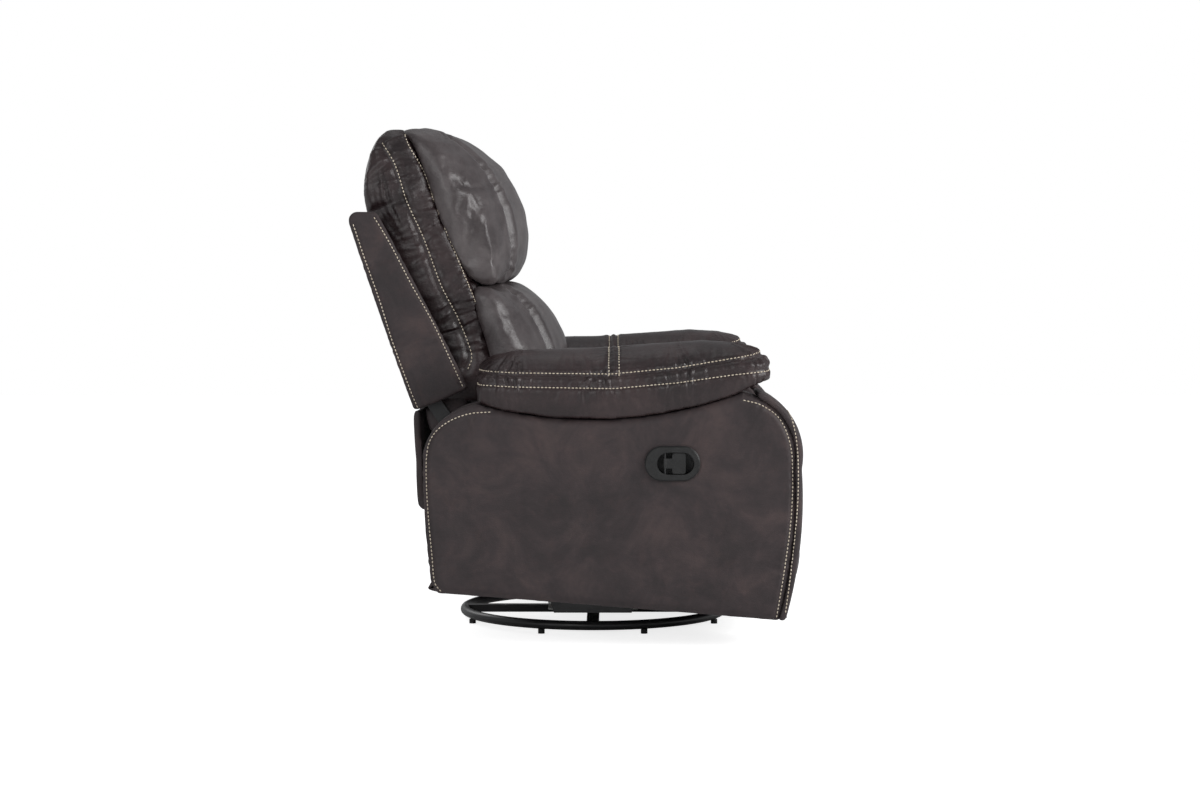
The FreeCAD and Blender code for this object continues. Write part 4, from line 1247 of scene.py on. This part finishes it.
@dataclass
class Back:
    """Wings, outer panel, back cushion, head and lumbar pillows, and the loose skirt."""

    finishes: Finishes
    stitches: StitchRows
    facing: Point3 = (0.935, 0.0, 0.354)
    corner: float = 0.062
    tuck: float = 0.006
    crown: float = 0.010
    seam_y: float = 0.176
    seam_a: tuple[Point2, ...] = ((-345, 1013), (-335, 988), (-303, 930), (-279, 862), (-238, 763), (-212, 700),
                                  (-188, 637), (-176, 585), (-168, 545))
    seam_b: tuple[Point2, ...] = ((-398, 990), (-372, 946), (-348, 873), (-315, 799), (-282, 709), (-250, 645),
                                  (-226, 585), (-221, 560), (-228, 540))
    cross_b: tuple[Point2, ...] = ((-406, 856), (-380, 868), (-352, 878))
    wing_front: tuple[Point2, ...] = ((-405, 840), (-374, 788), (-334, 711), (-291, 634), (-257, 562), (-232, 508))
    lining: tuple[Point2, ...] = ((-310, 458), (-304, 425), (-290, 400), (-275, 408), (-262, 417), (-240, 430),
                                  (-226, 438), (-222, 500), (-262, 482), (-300, 463))
    lining_half: float = 0.286
    wing_rear: tuple[Point2, ...] = ((-447, 826), (-426, 762), (-396, 677), (-371, 596), (-338, 505), (-322, 466))

    def build(self) -> None:
        """Make every covered piece of the back."""
        self._core()
        self._pillow("head_pillow_cover", "head_pillow", 41, (0.735, 1.018), (0.008, 0.0, 0.014))
        self._pillow("lumbar_pillow_cover", "lumbar_pillow", 42, (0.475, 0.700), (0.0, 0.008, 0.0))
        self._wings()
        self._panel()
        self._lining()
        self._skirt()

    def _core(self) -> None:
        """Back cushion with its two long side seams."""
        pad = PaddedPiece("back_pillow", "back_cushion",
                          PadRecipe(voxel=0.008, drawn_in=0.0, cap=0.012, seed=7,
                                    rumple=0.0022, rumple_size=0.085))
        co = read_points(pad.thing.data)
        up = np.array([-self.facing[2], 0.0, self.facing[0]])
        height = co @ up
        co += up * (self.crown * np.clip(1 - (height.max() - height) / 0.08, 0.0, 1.0))[:, None]
        write_points(pad.thing.data, co)
        for side in Side:
            tree = pad.tree()
            for number, (line, depth) in enumerate(((self.seam_b, 0.0050), (self.seam_a, 0.0030),
                                                    (self.cross_b, 0.0045))):
                starts, ways = side_path(line, side)
                Seam(np.array(landed(tree, starts, ways, 0.0)), depth, 0.008, 0.0040, 0.040, 0.024,
                     seed=50 + number).press(pad.thing.data)
            tree = pad.tree()
            for line, shift in ((self.seam_b, 5.0), (self.seam_a, -7.0)):
                starts, ways = side_path([(x + shift, z) for x, z in line], side)
                self.stitches.add("back", landed(tree, starts, ways, THREAD_PROUD))
        pad.finish("back", self.finishes.pad, Slot.PAD, 0.8)

    def _round_pillow(self, mesh: bpy.types.Mesh, ends: Point3) -> None:
        """Round a pillow's front corners, seat its rear and close the gaps at its ends.

        Args:
            mesh: the pillow's mesh.
            ends: how far its foot goes down, its top goes up and its rear top edge is tucked in, in metres.
        """
        low, high, tip = ends
        co = read_points(mesh)
        front, up = np.array(self.facing), np.array([-self.facing[2], 0.0, self.facing[0]])
        ahead, height = co @ front, co @ up
        depth = (ahead - ahead.min()) / np.ptp(ahead)
        edge = np.clip((np.abs(co[:, 1]) - 0.02) / (np.abs(co[:, 1]).max() - 0.02), 0.0, 1.0)
        foot = np.clip(1 - (height - height.min()) / 0.06, 0.0, 1.0)
        top = np.clip(1 - (height.max() - height) / 0.06, 0.0, 1.0)
        co -= front * (self.corner * edge ** 1.6 * depth ** 1.3 + self.tuck * (1 - depth) ** 2)[:, None]
        co += up * (top * (high * depth - tip * (1 - depth)) - foot * low)[:, None]
        write_points(mesh, co)

    def _pillow(self, name: str, node: str, seed: int, span: Point2, ends: Point3) -> None:
        """A front pillow in three sections.

        Args:
            name: the piece's name.
            node: the CAD node it stands for.
            seed: seed of its folds.
            span: lowest and highest point of its seams, in metres.
            ends: how its foot, its top and its rear top edge are moved, in metres.
        """
        pad = PaddedPiece(name, node, PadRecipe(voxel=0.007, drawn_in=-0.002, cap=0.012, still=(-1.0, 0.0, 0.0),
                                                seed=seed, rumple=0.0022, rumple_size=0.075))
        self._round_pillow(pad.thing.data, ends)
        tree = pad.tree()
        lines = []
        for y in (-self.seam_y, self.seam_y):
            lines.append(parallel_rays([(0.3, y, z) for z in np.arange(span[0], span[1], 0.004)], BACKWARD))
        for number, (starts, ways) in enumerate(lines):
            Seam(np.array(landed(tree, starts, ways, 0.0)), 0.012, 0.014, 0.0026, 0.04, 0.028,
                 seed=seed * 3 + number).press(pad.thing.data)
        tree = pad.tree()
        for starts, ways in lines:
            outward = -0.006 if starts[0][1] < 0 else 0.006
            self.stitches.add("back", landed(tree, starts + np.array([0.0, outward, 0.0]), ways, THREAD_PROUD))
        # The pillows take the lighter copy of the pad leather, whose paler colour is a painted highlight.
        pad.finish("back", self.finishes.pillow, Slot.PAD, 0.75)

    def _wings(self) -> None:
        """Side wings, rounded at the rim and stitched near both edges."""
        for side in Side:
            node = "back_wing_" + side.word
            thing = node_copy(node, "back_wing_cover_" + side.word)
            remeshed(thing, 0.0045, 4)
            co, nor = read_points(thing.data), read_normals(thing.data)
            write_points(thing.data, co + nor * 0.0008)
            subdivided(thing, 1)
            for path in sewn_edges(thing, side, (self.wing_front, self.wing_rear), 0.0016, 0.0007, 61):
                self.stitches.add("back", path)
            dressed(thing, "back", self.finishes.side, [node])

    def _panel(self) -> None:
        """Outer back panel, a thin padded cover."""
        thing = node_copy("back_outer_panel", "back_cover")
        remeshed(thing, 0.0045, 2)
        dressed(thing, "back", self.finishes.side, ["back_outer_panel"])

    def _lining(self) -> None:
        """Soft dark lining that closes the foot of the back between the wings."""
        count = len(self.lining)
        verts = [(x * MM, sign * self.lining_half, z * MM) for sign in (-1, 1) for x, z in self.lining]
        faces = [tuple(range(count)), tuple(range(2 * count - 1, count - 1, -1))]
        faces += [(k, (k + 1) % count, (k + 1) % count + count, k + count) for k in range(count)]
        thing = link_object("lower_back_lining", mesh_from("lower_back_lining", verts, faces))
        remeshed(thing, 0.006, 5)
        dressed(thing, "back", self.finishes.side, [])

    def _skirt(self) -> None:
        """Loose padded flap under the back."""
        pad = PaddedPiece("skirt_flap", "lower_back_skirt",
                          PadRecipe(voxel=0.0055, drawn_in=0.002, cap=0.003, seed=13, rumple=0.0016,
                                    rumple_size=0.09))
        pad.finish("skirt", self.finishes.side, Slot.SIDE, 0.5)


# ---- Metalwork


@dataclass
class BaseRing:
    """Round tube ring of the base, swept by a node tree."""

    finishes: Finishes
    middle_x: float = 0.027
    height: float = 0.01875
    reach: float = 0.27275
    tube: float = 0.00965

    def build(self) -> None:
        """Sweep the ring."""
        ring = ShapeTree("swept_ring", {"Ring Radius": self.reach, "Tube Radius": self.tube})
        new, join, start = ring.new, ring.join, ring.start
        rail, tube = new("GeometryNodeCurvePrimitiveCircle"), new("GeometryNodeCurvePrimitiveCircle")
        rail.inputs["Resolution"].default_value = 128
        tube.inputs["Resolution"].default_value = 20
        join(start.outputs["Ring Radius"], rail.inputs["Radius"])
        join(start.outputs["Tube Radius"], tube.inputs["Radius"])
        sweep = new("GeometryNodeCurveToMesh")
        join(rail.outputs["Curve"], sweep.inputs["Curve"])
        join(tube.outputs["Curve"], sweep.inputs["Profile Curve"])
        ring.close(sweep.outputs["Mesh"], self.finishes.steel)
        mesh = ring.mesh(link_object("ring_seed", bpy.data.meshes.new("ring_seed")), "base_hoop")
        mesh.transform(Matrix.Translation((self.middle_x, 0.0, self.height)))
        tidy_mesh(mesh)
        shaded_smooth(mesh)
        hoop = link_object("base_hoop", mesh)
        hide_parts("base_ring")
        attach(hoop, "base")
        LOG.info("base_hoop: %d faces", len(mesh.polygons))


def dress_cad_nodes(finishes: Finishes) -> None:
    """Give every CAD node the finish of its record slot, apart from a few that are dressed darker.

    The boards and the frame show only through gaps, where a chair has dark lining; the hinge pin, zinc steel in its
    record slot, is dressed in the black powder coat.

    Args:
        finishes: the chair's finishes.
    """
    slots = {part["node"]: part["material_slot"] for part in frame["record"]["subparts"]}
    covered = {"ottoman_board": finishes.side, "mid_pad_board": finishes.side, "seat_frame": finishes.side,
               "back_frame": finishes.side, "handle_hinge_pin": finishes.steel}
    for name, thing in frame["nodes"].items():
        finish = covered.get(name) or finishes.for_cad_slot(slots[name])
        if len(thing.material_slots):
            for place in thing.material_slots:
                place.material = finish
        else:
            thing.data.materials.append(finish)


# ---- Studio


@dataclass(frozen=True)
class Lamp:
    """One square area lamp: where it stands, what it points at, its side in metres and its watts."""

    name: str
    place: Point3
    aim: Point3
    size: float
    power: float

    def build(self) -> None:
        """Hang the lamp."""
        lamp = bpy.data.lights.new(self.name, "AREA")
        lamp.shape = "SQUARE"
        lamp.size = self.size
        lamp.energy = self.power
        thing = bpy.data.objects.new(self.name, lamp)
        bpy.context.scene.collection.objects.link(thing)
        thing.location = self.place
        thing.rotation_euler = (Vector(self.aim) - Vector(self.place)).to_track_quat("-Z", "Y").to_euler()


@dataclass
class Studio:
    """Pale floor, soft lamps and the camera at the photograph's angle."""

    camera_at: Point3 = (0.0655, -5.5, 0.757)
    lens: float = 78.0
    pitch: float = 3.08
    yaw: float = 0.26
    floor_grey: float = 0.92
    floor_glow: float = 0.80
    world_light: float = 0.34
    lamps: tuple[Lamp, ...] = (Lamp("key_lamp", (3.4, -1.8, 2.0), (0.0, 0.0, 0.7), 1.8, 98.0),
                               Lamp("fill_lamp", (-1.8, -3.8, 1.9), (0.0, 0.0, 0.5), 2.2, 38.0),
                               Lamp("top_lamp", (-0.4, 0.5, 3.6), (0.0, 0.0, 0.5), 1.6, 7.0),
                               Lamp("rear_lamp", (-2.6, 2.8, 2.4), (0.0, 0.0, 0.6), 2.0, 18.0))

    def build(self) -> None:
        """Make the floor, the world, the lamps and the camera."""
        self._floor()
        self._world()
        for lamp in self.lamps:
            lamp.build()
        eye = bpy.data.cameras.new("camera")
        eye.lens = self.lens
        eye.sensor_width = 36.0
        thing = bpy.data.objects.new("camera", eye)
        bpy.context.scene.collection.objects.link(thing)
        thing.location = self.camera_at
        thing.rotation_euler = (math.radians(90.0 - self.pitch), 0.0, math.radians(self.yaw))
        bpy.context.scene.camera = thing
        bpy.context.scene.view_settings.view_transform = "Standard"

    def _floor(self) -> None:
        """A wide floor that is white to the camera and holds the chair's shadow."""
        mesh = mesh_from("floor", [(-9, -9, 0), (9, -9, 0), (9, 9, 0), (-9, 9, 0)], [(0, 1, 2, 3)])
        floor = link_object("floor", mesh)
        material = bpy.data.materials.new("studio_floor")
        material.use_nodes = True
        tree = material.node_tree
        tree.nodes.clear()
        out = tree.nodes.new("ShaderNodeOutputMaterial")
        paint = tree.nodes.new("ShaderNodeBsdfDiffuse")
        paint.inputs["Color"].default_value = (self.floor_grey,) * 3 + (1.0,)
        glow = tree.nodes.new("ShaderNodeEmission")
        glow.inputs["Color"].default_value = (1.0, 1.0, 1.0, 1.0)
        glow.inputs["Strength"].default_value = self.floor_glow
        both = tree.nodes.new("ShaderNodeAddShader")
        ray = tree.nodes.new("ShaderNodeLightPath")
        pick = tree.nodes.new("ShaderNodeMixShader")
        join = tree.links.new
        join(paint.outputs[0], both.inputs[0])
        join(glow.outputs[0], both.inputs[1])
        join(ray.outputs["Is Camera Ray"], pick.inputs[0])
        join(paint.outputs[0], pick.inputs[1])
        join(both.outputs[0], pick.inputs[2])
        join(pick.outputs[0], out.inputs["Surface"])
        mesh.materials.append(material)

    def _world(self) -> None:
        """White to the camera, soft grey light to the chair."""
        world = bpy.data.worlds.new("studio")
        bpy.context.scene.world = world
        world.use_nodes = True
        tree = world.node_tree
        tree.nodes.clear()
        out = tree.nodes.new("ShaderNodeOutputWorld")
        seen = tree.nodes.new("ShaderNodeBackground")
        light = tree.nodes.new("ShaderNodeBackground")
        seen.inputs["Color"].default_value = (1.0, 1.0, 1.0, 1.0)
        seen.inputs["Strength"].default_value = 1.0
        light.inputs["Color"].default_value = (0.97, 0.98, 1.0, 1.0)
        light.inputs["Strength"].default_value = self.world_light
        ray = tree.nodes.new("ShaderNodeLightPath")
        pick = tree.nodes.new("ShaderNodeMixShader")
        join = tree.links.new
        join(ray.outputs["Is Camera Ray"], pick.inputs[0])
        join(light.outputs[0], pick.inputs[1])
        join(seen.outputs[0], pick.inputs[2])
        join(pick.outputs[0], out.inputs["Surface"])


def main() -> None:
    """Build and dress the whole chair."""
    logging.basicConfig(level=logging.INFO, format="%(message)s")
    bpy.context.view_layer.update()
    finishes = Finishes()
    stitches = StitchRows(finishes.thread)
    dress_cad_nodes(finishes)
    BaseRing(finishes).build()
    for part in (Arms(finishes, stitches), Seat(finishes, stitches), Footrest(finishes, stitches),
                 Back(finishes, stitches)):
        part.build()
        LOG.info("%s done", type(part).__name__)
    stitches.build()
    Studio().build()


if __name__ == "__main__":
    main()
